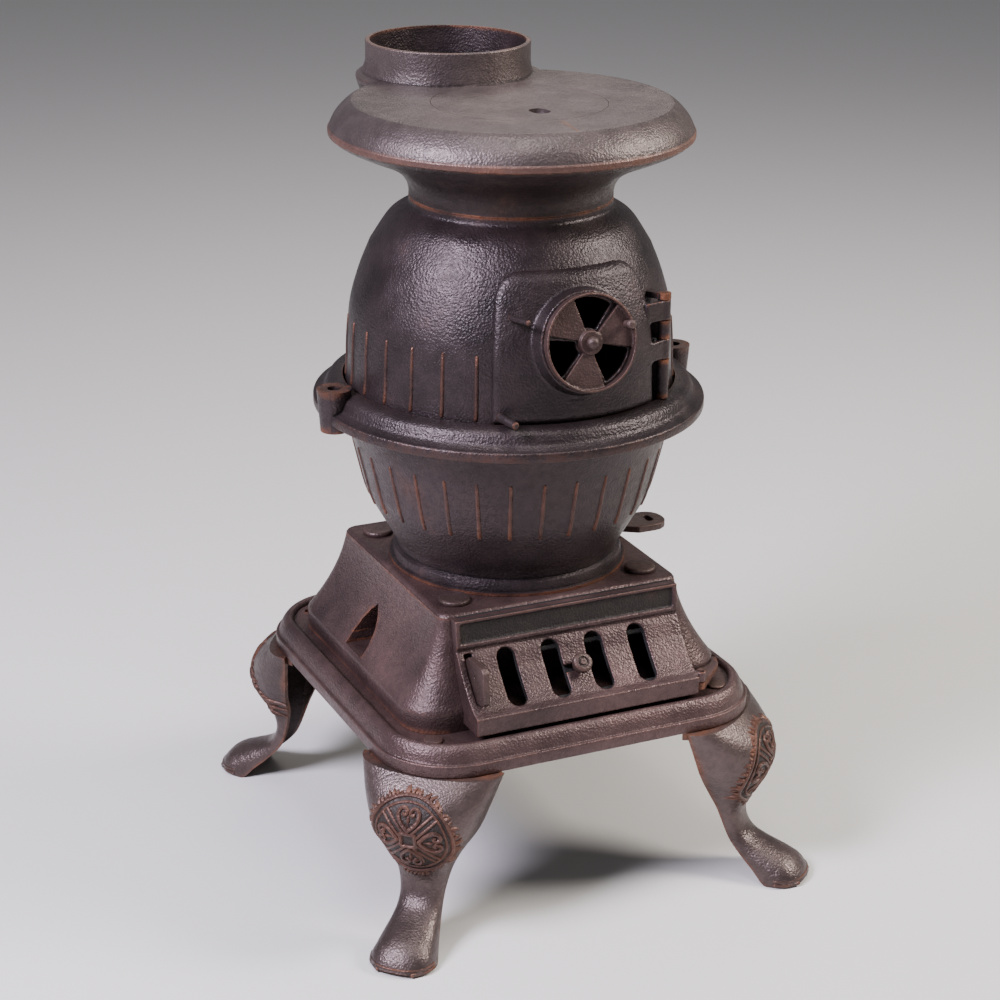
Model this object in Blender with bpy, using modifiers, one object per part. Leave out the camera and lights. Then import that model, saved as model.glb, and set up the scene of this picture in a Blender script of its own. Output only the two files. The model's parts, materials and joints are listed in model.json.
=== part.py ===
"""Old cast-iron potbelly stove: cook top, dome, fire bowl, ash box, tray and four cabriole legs."""
import math

import bmesh
import bpy
from mathutils import Matrix, Vector

MM = 0.001
GAP = 0.3                     # air between castings that touch

# turned bodies: (radius, height) in millimetres on the stove's axis
SEG = 36
DOME_OUT = [(159.0, 474.4), (156.3, 500), (155.3, 530), (152.5, 560), (144.1, 590),
            (134.1, 615), (121.5, 635), (115, 643), (108, 648), (101, 651.5), (97.5, 653.5), (96.5, 657), (96.5, 660.9)]
DOME_WALL = 5.0
BOWL_OUT = [(108.2, 313), (109.2, 316), (110, 320), (124.3, 345), (137.5, 370),
            (145.7, 400), (153.2, 430), (158.8, 450), (160.2, 459)]
BOWL_WALL = 6.0
PLATE_R, RIM_R = 150.6, 171.5
PLATE_Z, RIM_Z0, RIM_Z1 = 750.65, 719.7, 726.0
COLLAR_Y, COLLAR_R, COLLAR_WALL, COLLAR_TOP = 148.2, 81.0, 4.4, 781.8
LID_R, LID_Y, LID_T = 82.0, -16.0, 8.8
RIB_STEP = 12.0

# fire door, draft wheel and hinge
DOOR_HALF_ANGLE, DOOR_Z0, DOOR_Z1 = 31.0, 487.2, 623.0
DOOR_RISE, DOOR_CORNER = 7.0, 26.0
HINGE_X, HINGE_Y = 96.3, -130.3
WHEEL_C, WHEEL_TILT = (0.0, -175.1, 564.5), 11.4
WHEEL_R, BOSS_R = 44.9, 46.6

# ash box, ash door and tray
PED_TOP_Z, PED_FLARE_Z, PED_Z0 = 299.0, 214.0, 194.0
PED_TOP_H, PED_DX, PED_DY, PED_RC0, PED_RC1 = 125.0, 40.0, 31.0, 12.0, 38.0
PED_WALL = 6.0
ASH_HALF = 116.6
ASH_FRONT = [(-139, 297.5), (-142, 271.5), (-140, 268), (-145, 262), (-153, 250), (-163, 239),
             (-172, 229.5), (-182, 222.3), (-190, 219.5), (-190, 202.2)]
ASH_HINGE = (122.3, -182.0)
LATCH_PIVOT = (-150.5, 239.5)
SLOT_X = (-68.5, -22.7, 22.7, 68.5)
TRAY_HX, TRAY_HY, TRAY_RC = 194.5, 204.5, 76.0
TRAY_Z0, TRAY_FLOOR = 170.6, 193.6
BOLT_XY = (99.0, 95.4)
LEG_BOLT = (150.0, 164.0)
LEG_DIR = math.radians(46.5)

# legs: outer point (s, z), back point (s, z), half width, hollowness, fullness of the outer face
LEG = [((252, 170), (216, 170), 69.5, 1, .85), ((265, 159), (217, 160), 66, 1, .8), ((275.5, 147), (219.5, 148), 62, 1, .75),
       ((281, 133), (222, 134), 57, 1, .7), ((281, 121), (224.5, 121.5), 52.5, 1, .68), ((277.5, 110), (227, 110), 47, 1, .65),
       ((272, 99), (229, 99.5), 40, 1, .65), ((265.5, 87), (232, 87), 32.5, 1, .65), ((259.5, 75), (236, 75), 27, 1, .65),
       ((257.2, 63), (240, 62), 23.5, 1, .65), ((260, 51), (244.5, 49), 21.5, .9, .65), ((267, 42), (251, 37), 21.5, .7, .65),
       ((278, 36), (262, 25), 23.5, .4, .65), ((291, 31), (276, 12.5), 27, 0, .65), ((304, 26), (287, 1.5), 30, 0, .65),
       ((313.5, 20), (294, 0), 31, 0, .65), ((320.5, 12), (304, 0), 28.5, 0, .7), ((324.5, 4.5), (314, 0), 22, 0, .7)]

for o in list(bpy.data.objects):
    bpy.data.objects.remove(o, do_unlink=True)

scene = bpy.context.scene
PARTS = bpy.data.collections.new("potbelly_stove")
CUT = bpy.data.collections.new("cutters")
scene.collection.children.link(PARTS)
scene.collection.children.link(CUT)


def material(name, rgb, rough, metal):
    m = bpy.data.materials.new(name)
    m.use_nodes = True
    b = m.node_tree.nodes["Principled BSDF"]
    b.inputs["Base Color"].default_value = (*rgb, 1)
    b.inputs["Roughness"].default_value = rough
    b.inputs["Metallic"].default_value = metal
    m.diffuse_color = (*rgb, 1)
    return m


IRON = (0.055, 0.048, 0.048)
RUSTY = (0.085, 0.055, 0.047)
WORN = (0.16, 0.14, 0.135)
DARK = (0.02, 0.018, 0.018)


def add(name, bm_or_mesh, rgb=None, rough=0.55, metal=0.6, smooth=True):
    """New object: a part with its own material, or a cutter when rgb is None."""
    if isinstance(bm_or_mesh, bmesh.types.BMesh):
        me = bpy.data.meshes.new(name)
        bmesh.ops.recalc_face_normals(bm_or_mesh, faces=bm_or_mesh.faces)
        bm_or_mesh.to_mesh(me)
        bm_or_mesh.free()
    else:
        me = bm_or_mesh
    o = bpy.data.objects.new(name, me)
    if rgb is None:
        CUT.objects.link(o)
        o.hide_render = True
        o.display_type = "WIRE"
    else:
        PARTS.objects.link(o)
        me.materials.append(material(name, rgb, rough, metal))
        if smooth:
            me.shade_smooth()
    return o


def mirror_sign(p, sx, sy):
    return (p[0] * sx, p[1] * sy, p[2])


def loft(sections, closed_caps=True, rings=True):
    """Closed solid through sections of equal point count."""
    bm = bmesh.new()
    rows = [[bm.verts.new(Vector(p) * MM) for p in s] for s in sections]
    n = len(rows[0])
    for a, b in zip(rows, rows[1:]):
        for i in range(n):
            j = (i + 1) % n
            bm.faces.new((a[i], a[j], b[j], b[i]))
    if closed_caps:
        bm.faces.new(rows[0])
        bm.faces.new(rows[-1])
    else:
        a, b = rows[-1], rows[0]
        for i in range(n):
            j = (i + 1) % n
            bm.faces.new((a[i], a[j], b[j], b[i]))
    bmesh.ops.recalc_face_normals(bm, faces=bm.faces)
    return bm


def turned(name, profile, rgb=None, seg=SEG, y=0.0, **kw):
    """Closed profile of (r, z) turned a full circle about a vertical axis through (0, y)."""
    area = sum(a[0] * b[1] - b[0] * a[1] for a, b in zip(profile, profile[1:] + profile[:1]))
    if area > 0:                       # the outer side runs from top to bottom
        profile = profile[::-1]
    bm = bmesh.new()
    vs = [bm.verts.new((r * MM, 0, z * MM)) for r, z in profile]
    solid = sum(r == 0 for r, _ in profile) == 2
    if solid:                          # both ends on the axis: the line between them stays open
        while profile[0][0] != 0 or profile[-1][0] != 0:
            profile, vs = profile[1:] + profile[:1], vs[1:] + vs[:1]
    for a, b in zip(vs, vs[1:] if solid else vs[1:] + vs[:1]):
        bm.edges.new((a, b))
    me = bpy.data.meshes.new(name)
    bm.to_mesh(me)
    bm.free()
    o = add(name, me, rgb, **kw)
    o.location = (0, y * MM, 0)
    s = o.modifiers.new("turn", "SCREW")
    s.angle, s.steps, s.render_steps = math.tau, seg, seg
    s.use_merge_vertices, s.merge_threshold = True, 1e-5
    s.use_normal_calculate = False
    s.use_smooth_shade = True
    return o


def prism(name, pts, a, b, axis="z", rgb=None, **kw):
    """Flat outline drawn on the plane across an axis and carried from a to b."""
    put = {"z": lambda u, v, w: (u, v, w), "x": lambda u, v, w: (w, u, v), "y": lambda u, v, w: (u, w, v)}[axis]
    return add(name, loft([[put(u, v, a) for u, v in pts], [put(u, v, b) for u, v in pts]]), rgb, **kw)


def rod(bm, p, q, r1, r2=None, seg=16):
    """Cylinder or cone from p to q in an open bmesh, in millimetres."""
    p, q = Vector(p) * MM, Vector(q) * MM
    d = q - p
    m = Matrix.Translation((p + q) / 2) @ d.to_track_quat("Z", "Y").to_matrix().to_4x4()
    bmesh.ops.create_cone(bm, cap_ends=True, segments=seg, radius1=r1 * MM,
                          radius2=(r1 if r2 is None else r2) * MM, depth=d.length, matrix=m)


def block(bm, lo, hi):
    c = [(a + b) / 2 * MM for a, b in zip(lo, hi)]
    s = [(b - a) * MM for a, b in zip(lo, hi)]
    bmesh.ops.create_cube(bm, size=1, matrix=Matrix.Translation(c) @ Matrix.Diagonal((*s, 1)))


def boolean(target, tool, op="DIFFERENCE"):
    m = target.modifiers.new(op.lower(), "BOOLEAN")
    m.operation, m.object, m.solver = op, tool, "EXACT"
    return m


def soften(o, width=1.0, segments=1, angle=40):
    m = o.modifiers.new("edge", "BEVEL")
    m.width, m.segments, m.limit_method, m.angle_limit = width * MM, segments, "ANGLE", math.radians(angle)
    return m


def interp(table, z):
    """Radius of a turned wall at height z."""
    for (r0, z0), (r1, z1) in zip(table, table[1:]):
        if z0 <= z <= z1:
            return r0 + (r1 - r0) * (z - z0) / (z1 - z0)
    return table[0][0] if z < table[0][1] else table[-1][0]


def arc(cx, cy, r, a0, a1, n):
    return [(cx + r * math.cos(math.radians(a0 + (a1 - a0) * i / n)),
             cy + r * math.sin(math.radians(a0 + (a1 - a0) * i / n))) for i in range(n + 1)]


def rrect(hx, hy, rc, n=6):
    """Rounded rectangle, anticlockwise, n steps a corner."""
    out = []
    for sx, sy, a in ((1, 1, 0), (-1, 1, 90), (-1, -1, 180), (1, -1, 270)):
        out += arc(sx * (hx - rc), sy * (hy - rc), rc, a, a + 90, n)
    return out


def at_z(pts, z):
    return [(x, y, z) for x, y in pts]


def ring(cy, r, z, n=SEG):
    return [(r * math.cos(math.tau * i / n), cy + r * math.sin(math.tau * i / n), z) for i in range(n)]


def offset_line(pts, d):
    """Open line moved sideways by d (to its left when d is positive)."""
    out = []
    for i, p in enumerate(pts):
        ns = []
        for a, b in ((i - 1, i), (i, i + 1)):
            if a < 0 or b >= len(pts):
                continue
            v = Vector(pts[b]) - Vector(pts[a])
            ns.append(Vector((-v.y, v.x)).normalized())
        n = sum(ns, Vector((0, 0)))
        n.normalize()
        k = d / max(0.5, n.dot(ns[0]))
        out.append((p[0] + n.x * k, p[1] + n.y * k))
    return out


def ribs(name, wall, z0, z1, angles, radius=2.3, proud=1.4):
    """Slim half-buried bars that follow a turned wall."""
    bm = bmesh.new()
    for a in angles:
        t = math.radians(a)
        p = [(interp(wall, z) - radius + proud) for z in (z0, z1)]
        rod(bm, (p[0] * math.sin(t), -p[0] * math.cos(t), z0), (p[1] * math.sin(t), -p[1] * math.cos(t), z1),
            radius, radius * 0.8, 4)
    return add(name, bm)


# ---------------------------------------------------------------- cook top and lid
cook_top = turned("cook_top", [(60, PLATE_Z), (PLATE_R, PLATE_Z), (154.5, 748.4), (160, 742.6), (165.5, 736.2),
                               (169.5, 730), (RIM_R, RIM_Z1), (RIM_R, RIM_Z0 + .6), (RIM_R - .8, RIM_Z0),
                               (163, RIM_Z0), (157, 727), (146, 735), (60, 735)], WORN, rough=0.5, metal=0.55)
skirt = add("cook_top_skirt", loft([ring(145, 85.4, RIM_Z0), ring(145, 86.2, RIM_Z0 + 1), ring(145, 88, 735),
                                   ring(145, 91.2, 744), ring(145.4, 90.4, 748), ring(146.4, 86.2, 752.4),
                                   ring(147.6, 82.8, 757),
                                   ring(COLLAR_Y, COLLAR_R, 762), ring(COLLAR_Y, COLLAR_R, COLLAR_TOP - 1),
                                   ring(COLLAR_Y, COLLAR_R - .9, COLLAR_TOP)]))
boolean(cook_top, skirt, "UNION")
flue = COLLAR_R - COLLAR_WALL
boolean(cook_top, add("flue_bore", loft([ring(145, 80.4, 700), ring(145, 80.4, 734), ring(146.5, 79, 740),
                                         ring(COLLAR_Y, flue, 746), ring(COLLAR_Y, flue, 790)])))
boolean(cook_top, turned("plate_chamber", [(0, 700), (151, 700), (151, 729), (142, 734.99), (0, 734.99)]))
bm = bmesh.new()
rod(bm, (0, LID_Y, 765), (0, LID_Y, PLATE_Z - LID_T - GAP), LID_R + .4, seg=SEG)
boolean(cook_top, add("lid_rebate", bm))
bm = bmesh.new()
rod(bm, (0, LID_Y, 745), (0, LID_Y, 725), 74, seg=SEG)
boolean(cook_top, add("lid_hole", bm))

bm = bmesh.new()
rod(bm, (0, LID_Y, PLATE_Z - LID_T), (0, LID_Y, PLATE_Z), LID_R, seg=SEG)
lid = add("stove_lid", bm, WORN, rough=0.5, metal=0.55, smooth=False)
boolean(lid, prism("lifter_notch", arc(0, -61, 9, 180, 360, 8) + arc(0, -56, 9, 0, 180, 8), PLATE_Z - 6, PLATE_Z + 3))

# ---------------------------------------------------------------- neck
NECK_OUT = [(96.5, 661.2), (96.6, 668), (99, 676), (105.5, 685), (117, 693), (131, 700), (149, 707.5), (164, 714.5),
            (169.5, RIM_Z0 - GAP)]
neck = turned("neck", [(0, 661.2)] + NECK_OUT + [(0, RIM_Z0 - GAP)], IRON)
boolean(neck, add("neck_pan", loft([ring(115, 38, 690), ring(127, 60, 697), ring(139, 77.5, 705), ring(144.4, 84.4, 713),
                                    ring(145, 85.6, RIM_Z0 - GAP)])), "UNION")
boolean(neck, turned("neck_bore", [(0, 650), (91, 650), (91, 669), (93.5, 678), (100.5, 689), (113, 698), (128, 705.5),
                                   (146, 712.5), (160, 719), (160, 740), (0, 740)]))
boolean(neck, add("pan_bore", loft([ring(112, 28, 697.3), ring(126, 52, 703.4), ring(138, 70.5, 709.6), ring(144.4, 78.4, 717),
                                    ring(144.9, 79.3, 741)])))

# ---------------------------------------------------------------- dome with its ribs, opening and hinge lugs
inner = offset_line(DOME_OUT, DOME_WALL)
inner[0] = (DOME_OUT[0][0] - DOME_WALL, DOME_OUT[0][1])
inner[-1] = (91.5, 660.9)
dome = turned("dome", DOME_OUT + inner[::-1], IRON)
boolean(dome, ribs("dome_ribs", DOME_OUT, 489, 547, list(range(48, 325, int(RIB_STEP)))), "UNION")
bm = bmesh.new()
for z0, z1 in ((583, 588.6), (545.4, 562.6), (487.4, 525.2)):
    rod(bm, (HINGE_X, HINGE_Y, z0), (HINGE_X, HINGE_Y, z1), 6.2, seg=14)
hinge_lugs = add("hinge_lugs", bm)
boolean(dome, hinge_lugs, "UNION")
rad = math.hypot(HINGE_X, HINGE_Y)
ux, uy = HINGE_X / rad, HINGE_Y / rad
bm = bmesh.new()
for z0, z1 in ((583, 588.6), (545.4, 562.6), (487.4, 525.2)):
    r0 = max(118, interp(DOME_OUT, (z0 + z1) / 2) - 3.5)
    c = Vector((ux * (r0 + rad) / 2, uy * (r0 + rad) / 2, (z0 + z1) / 2)) * MM
    m = Matrix.Translation(c) @ Matrix.Rotation(math.atan2(uy, ux), 4, "Z") @ Matrix.Diagonal(
        ((rad - r0) * MM, 9.6 * MM, (z1 - z0) * MM, 1))
    bmesh.ops.create_cube(bm, size=1, matrix=m)
boolean(dome, add("hinge_webs", bm), "UNION")
OPEN_W, OPEN_Z0, OPEN_Z1 = 68, 497, 608
opening = [(-OPEN_W, OPEN_Z0), (OPEN_W, OPEN_Z0)] + arc(OPEN_W - 20, OPEN_Z1 - 20, 20, 0, 90, 5) + arc(
    -OPEN_W + 20, OPEN_Z1 - 20, 20, 90, 180, 5)
boolean(dome, prism("fire_opening", opening, -190, -60, "y"))
bm = bmesh.new()
rod(bm, (HINGE_X, HINGE_Y, 519), (HINGE_X, HINGE_Y, 592), 2.9, seg=14)
pin_hole = add("hinge_pin_hole", bm)
boolean(dome, pin_hole)


# ---------------------------------------------------------------- fire door
def door_rise(d):
    """Height of the door's face over the dome, d millimetres in from its outline."""
    steps = ((0, 1.2), (1.6, 4.4), (4.6, 6.3), (9, DOOR_RISE))
    for (d0, h0), (d1, h1) in zip(steps, steps[1:]):
        if d <= d1:
            return h0 + (h1 - h0) * max(0, d - d0) / (d1 - d0)
    return DOOR_RISE


def door_body():
    """Curved panel lofted through level sections."""
    wall = DOME_OUT
    rows = []
    zs = [DOOR_Z0 + z for z in (0, 1.6, 4.6, 9)] + [500, 515, 530, 545, 560, 575, 590]
    top = []
    zc = DOOR_Z1 - DOOR_CORNER
    for a in (0, 24, 46, 62, 74, 82, 88):
        top.append((zc + DOOR_CORNER * math.sin(math.radians(a)), DOOR_CORNER * (1 - math.cos(math.radians(a)))))
    rows = [(z, 0) for z in zs] + top
    half_mm = math.radians(DOOR_HALF_ANGLE) * 159
    sections = []
    for z, cut in rows:
        w = half_mm - cut
        r0 = interp(wall, z)
        steps = [0, 1.6, 4.6, 9]
        us = [-w + s for s in steps] + [-w + 9 + (2 * w - 18) * k / 8 for k in range(1, 8)] + [
            w - s for s in steps[::-1]]
        outer, inn = [], []
        for u in us:
            side = w - abs(u)
            dz = min(z - DOOR_Z0, 1e9)
            if z > zc:
                cx = max(0.0, abs(u) - (half_mm - DOOR_CORNER))
                side = DOOR_CORNER - math.hypot(cx, z - zc)
            h = door_rise(max(0.0, min(side, dz)))
            t = u / 159
            outer.append(((r0 + h) * math.sin(t), -(r0 + h) * math.cos(t), z))
            inn.append(((r0 + .9) * math.sin(t), -(r0 + .9) * math.cos(t), z))
        sections.append(outer + inn[::-1])
    return loft(sections)


fire_door = add("fire_door", door_body(), IRON, rough=0.5)
tilt = math.radians(WHEEL_TILT)
WN = Vector((0, -math.cos(tilt), math.sin(tilt)))       # out of the wheel's face
WU = Vector((0, math.sin(tilt), math.cos(tilt)))        # up the face
WR = Vector((1, 0, 0))                                  # to the viewer's right
WC = Vector(WHEEL_C)


def wp(u, v, w):
    """Point in the wheel's own frame: right, up, out."""
    return WC + WR * u + WU * v + WN * w


def sector(bm, a0, a1, r0, r1, w0, w1, n=6):
    """Ring sector in the wheel's plane."""
    pts = arc(0, 0, r1, a0, a1, n) + arc(0, 0, r0, a1, a0, n)
    lo = [bm.verts.new(wp(u, v, w0) * MM) for u, v in pts]
    hi = [bm.verts.new(wp(u, v, w1) * MM) for u, v in pts]
    k = len(pts)
    for i in range(k):
        j = (i + 1) % k
        bm.faces.new((lo[i], lo[j], hi[j], hi[i]))
    bm.faces.new(lo)
    bm.faces.new(hi)


bm = bmesh.new()
rod(bm, wp(0, 0, -27), wp(0, 0, -8.7), BOSS_R + 3, BOSS_R, seg=SEG)
boolean(fire_door, add("door_boss", bm), "UNION")
bm = bmesh.new()
rod(bm, wp(0, 0, -60), wp(0, 0, -13.5), 43.0, seg=SEG)
boolean(fire_door, add("boss_hollow", bm))
bm = bmesh.new()
for k in range(3):
    sector(bm, 52 + 120 * k, 106 + 120 * k, 13, 40.5, -16, -6)
bmesh.ops.recalc_face_normals(bm, faces=bm.faces)
boolean(fire_door, add("register_slots", bm))
bm = bmesh.new()
for z0, z1 in ((562.9, 582.6), (525.6, 545.1)):
    rod(bm, (HINGE_X, HINGE_Y, z0), (HINGE_X, HINGE_Y, z1), 6.2, seg=14)
boolean(fire_door, add("door_knuckles", bm), "UNION")
bm = bmesh.new()
for z0, z1 in ((563.4, 582.1), (526.1, 544.6)):
    a, t = Vector((HINGE_X - 1, HINGE_Y - 2.6, 0)), math.radians(28)
    b = Vector((math.sin(t), -math.cos(t), 0)) * (interp(DOME_OUT, z0) + 4.0)
    c = ((a + b) / 2 + Vector((0, 0, (z0 + z1) / 2))) * MM
    ang = math.atan2(b.y - a.y, b.x - a.x)
    bmesh.ops.create_cube(bm, size=1, matrix=Matrix.Translation(c) @ Matrix.Rotation(ang, 4, "Z") @ Matrix.Diagonal(
        ((b - a).length * MM, 5.0 * MM, (z1 - z0) * MM, 1)))
boolean(fire_door, add("door_leaves", bm), "UNION")
boolean(fire_door, pin_hole)
bm = bmesh.new()
rod(bm, wp(0, 0, -20), wp(0, 0, 3), 3.4, seg=14)
screw_hole = add("wheel_screw_hole", bm)
boolean(fire_door, screw_hole)

bm = bmesh.new()
rod(bm, (HINGE_X, HINGE_Y, 520), (HINGE_X, HINGE_Y, 589.2), 2.6, seg=14)
add("fire_door_hinge_pin", bm, RUSTY, rough=0.7)

# latch pegs driven into the door's left edge
for nm, p, q, r1, r2 in (("upper", (-65.4, -139.5, 585.6), (-61.2, -171, 588.6), 2.9, 2.4),
                         ("lower", (-77.9, -146.4, 496.0), (-73.6, -174, 495.2), 4.4, 3.3)):
    bm = bmesh.new()
    rod(bm, p, q, r1 + .3, r1 + .3, 12)
    boolean(fire_door, add("peg_seat_" + nm, bm))
    bm = bmesh.new()
    rod(bm, Vector(p) + (Vector(q) - Vector(p)).normalized() * .4, q, r1, r2, 12)
    o = add("latch_peg_" + nm, bm, RUSTY, rough=0.6)
    soften(o, 1.2)

# ---------------------------------------------------------------- draft wheel
bm = bmesh.new()
rod(bm, wp(0, 0, -8.3), wp(0, 0, 0), WHEEL_R, seg=SEG)
wheel = add("draft_wheel", bm, RUSTY, rough=0.55)
bm = bmesh.new()
rod(bm, wp(0, 0, -4.6), wp(0, 0, 5), WHEEL_R - 2.1, seg=SEG)
boolean(wheel, add("wheel_dish", bm))
bm = bmesh.new()
for k in range(3):
    sector(bm, 45.5 + 120 * k, 108.5 + 120 * k, 11.5, WHEEL_R - 2.1, -12, 4)
bmesh.ops.recalc_face_normals(bm, faces=bm.faces)
boolean(wheel, add("wheel_windows", bm))
bm = bmesh.new()
rod(bm, wp(0, 0, -7), wp(0, 0, -1.6), 12.0, 10.8, 24)
boolean(wheel, add("wheel_hub", bm), "UNION")
boolean(wheel, screw_hole)
bm = bmesh.new()
rod(bm, wp(37, 13, -10), wp(37, 13, 4), 2.1, seg=12)
boolean(wheel, add("knob_hole", bm))
wheel_axis = bpy.data.objects.new("draft_wheel_axis", None)
PARTS.objects.link(wheel_axis)
wheel_axis.location = WC * MM

screw = turned("draft_wheel_screw", [(0, -19), (2.9, -19), (2.9, -1.2), (5.8, -1.2), (5.8, 1.2), (5, 3.4), (3, 5.2),
                                     (0, 6.0)], RUSTY, seg=14, rough=0.5)
screw.rotation_euler = (math.pi / 2 - tilt, 0, 0)
screw.location = WC * MM
knob = turned("draft_wheel_knob", [(0, -7.6), (1.8, -7.6), (1.8, -4.2), (3.2, -4.2), (3.0, 1.5), (4.2, 4.6), (3.6, 7.4),
                                   (0, 8.4)], RUSTY, seg=12, rough=0.55)
knob.rotation_euler = (math.pi / 2 - tilt, 0, 0)
knob.location = wp(37, 13, 0) * MM

# ---------------------------------------------------------------- belly ring with its pierced lugs
belly = turned("belly_ring", [(160.9, 456.4), (187.6, 459.4), (189, 460.8), (189, 467.2), (187.8, 468.8), (184, 470.2),
                              (178.4, 473.6), (176.4, 478.8), (173, 483.6), (167, 486.2), (160.4, 486.6),
                              (160.0, 473.9), (147.5, 473.9), (147.5, 459.4), (160.9, 459.4)], IRON)
for s, nm in ((-1, "left"), (1, "right")):
    bm = bmesh.new()
    rod(bm, (s * 180.5, 0, 450.5), (s * 180.5, 0, 492), 13.4, 16.6, 20)
    boolean(belly, add("lug_" + nm, bm), "UNION")
    bm = bmesh.new()
    rod(bm, (s * 180.5, 0, 440), (s * 180.5, 0, 500), 6.6, 6.6, 16)
    boolean(belly, add("lug_hole_" + nm, bm))

# ---------------------------------------------------------------- fire bowl on its round foot
bowl_in = [(r - BOWL_WALL, z) for r, z in BOWL_OUT[2:]]
bowl = turned("fire_bowl", [(117, 299.3), (117, 301.6), (113.6, 302.6), (113.2, 307), (112, 310.8)] + BOWL_OUT
              + [(154.2, 459)] + bowl_in[-2::-1] + [(101.5, 308.9), (90, 308.9), (90, 299.3)], IRON)
boolean(bowl, ribs("bowl_ribs", BOWL_OUT, 366, 423, [a * RIB_STEP for a in range(30)]), "UNION")
bm = bmesh.new()
block(bm, (80, -34, 301.75), (130, 34, 311.5))
boolean(bowl, add("shaker_window", bm))

# grate and the bar that shakes it
bm = bmesh.new()
rod(bm, (0, 0, 309.3), (0, 0, 317.1), 97.5, seg=SEG)
grate = add("grate", bm, DARK, rough=0.8, metal=0.4, smooth=False)
bm = bmesh.new()
for k in range(-4, 5):
    half = math.sqrt(86 ** 2 - (k * 18) ** 2)
    for s in (-1, 1):
        block(bm, (k * 18 - 4.5, min(s * 5, s * half), 300), (k * 18 + 4.5, max(s * 5, s * half), 330))
boolean(grate, add("grate_slots", bm))
TAB_X = 158.5
bar = prism("shaker_bar", [(58, -9), (124, -9), (139, -19)] + arc(TAB_X, -2.5, 16.5, -90, 0, 4)
            + arc(TAB_X, 2.5, 16.5, 0, 90, 4) + [(139, 19), (124, 9), (58, 9)], 302.1, 309.0, rgb=RUSTY, rough=0.6,
            smooth=False)
boolean(bar, prism("shaker_eye", arc(TAB_X, -4, 3.6, 180, 360, 8) + arc(TAB_X, 4, 3.6, 0, 180, 8), 290, 330))
grate_axis = bpy.data.objects.new("grate_axis", None)
PARTS.objects.link(grate_axis)
grate_axis.location = (0, 0, 309.3 * MM)


# ---------------------------------------------------------------- pedestal
def flare(z):
    u = max(0.0, min(1.0, (PED_TOP_Z - z) / (PED_TOP_Z - PED_FLARE_Z)))
    return 0.35 * u + 0.65 * u * u


def ped_section(z, d=0.0, n=4):
    f = flare(z)
    return at_z(rrect(PED_TOP_H + PED_DX * f - d, PED_TOP_H + PED_DY * f - d, PED_RC0 + (PED_RC1 - PED_RC0) * f - d * .8,
                      n), z)


heights = [PED_FLARE_Z + (PED_TOP_Z - PED_FLARE_Z) * k / 7 for k in range(7)]
pedestal = add("pedestal", loft([at_z([(x, y) for x, y, _ in ped_section(PED_FLARE_Z)], PED_Z0)]
                                + [ped_section(z) for z in heights] + [ped_section(294.6)]
                                + [at_z([(x, y) for x, y, _ in ped_section(294.6, 1.4)], 297.6),
                                   at_z([(x, y) for x, y, _ in ped_section(294.6, 4.0)], PED_TOP_Z)]), RUSTY, rough=0.6)
boolean(pedestal, add("ash_pit", loft([at_z([(x, y) for x, y, _ in ped_section(PED_FLARE_Z, PED_WALL)], PED_Z0 - 4)]
                                      + [ped_section(z, PED_WALL) for z in heights] + [ped_section(291.5, PED_WALL)])))
bm = bmesh.new()
rod(bm, (0, 0, 280), (0, 0, 310), 89, seg=SEG)
boolean(pedestal, add("ash_drop", bm))
bm = bmesh.new()
block(bm, (-103, -175, 207), (103, -100, 284))
boolean(pedestal, add("rake_opening", bm))
arch = [(-14, 217), (25, 217)] + [(25, 229), (21, 243), (14, 254), (5.5, 262.5), (-3, 254), (-10, 243), (-14, 229)]
boolean(pedestal, prism("side_arch", arch, -190, 190, "x"))
# bracket of the ash door's lift-off hinge, cast on at the front right
AX, AY = ASH_HINGE
bracket = arc(AX, AY, 5.1, 150, 300, 8) + [(159, -152), (164, -139), (150, -128), (119.2, -150)]
boolean(pedestal, prism("hinge_bracket", bracket, 204.6, 211.2), "UNION")
bm = bmesh.new()
rod(bm, (AX, AY, 200), (AX, AY, 216), 2.6, seg=12)
boolean(pedestal, add("bracket_hole", bm))

bm = bmesh.new()
for sx in (-1, 1):
    for sy in (-1, 1):
        rod(bm, (sx * BOLT_XY[0], sy * BOLT_XY[1], 270), (sx * BOLT_XY[0], sy * BOLT_XY[1], 320), 4.4, seg=12)
boolean(pedestal, add("bolt_holes", bm))
for sy, row in ((-1, "front"), (1, "back")):
    for sx, side in ((-1, "left"), (1, "right")):
        o = turned("pedestal_bolt_%s_%s" % (row, side),
                   [(0, 194.4), (4, 194.4), (4, 299.35), (15, 299.35), (15.2, 301.4), (14, 303.2), (11, 304), (0, 304.2)],
                   RUSTY, seg=14, rough=0.6)
        o.location = (sx * BOLT_XY[0] * MM, sy * BOLT_XY[1] * MM, 0)

# ---------------------------------------------------------------- ash door
back = []
for z in [202.2] + heights + [297.5]:
    back.append((-(PED_TOP_H + PED_DY * flare(z)) - .6, z))
ash = prism("ash_door", ASH_FRONT + back, -ASH_HALF, ASH_HALF, "x", rgb=RUSTY, rough=0.55, smooth=False)
inside = offset_line(ASH_FRONT, 5.0)
inside[0] = (-134, 291.5)
inside[1] = (-137, 271.5)
inside[2] = (-135, 267.5)
inside[-2] = (-185, 214.5)
inside[-1] = (-185, 207.4)
hollow = inside + [(-130, 207.4), (-110, 207.4), (-110, 291.5)]
boolean(ash, prism("ash_door_hollow", hollow, -ASH_HALF + 5, ASH_HALF - 5, "x"))
rec = [(-146, 296), (-146, 274.3), (-136.6, 274.3), (-134.3, 294.4), (-140, 294.9)]
rec = [(-150, 294.2), (-150, 274.6), (-138.9, 274.6), (-136.8, 294.2)]
boolean(ash, prism("name_recess", rec, -112.4, 112.4, "x"))
T, B = Vector((-145.5, 264.5)), Vector((-181, 224.5))
sd = (B - T).normalized()
sn = Vector((sd.y, -sd.x))
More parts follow.
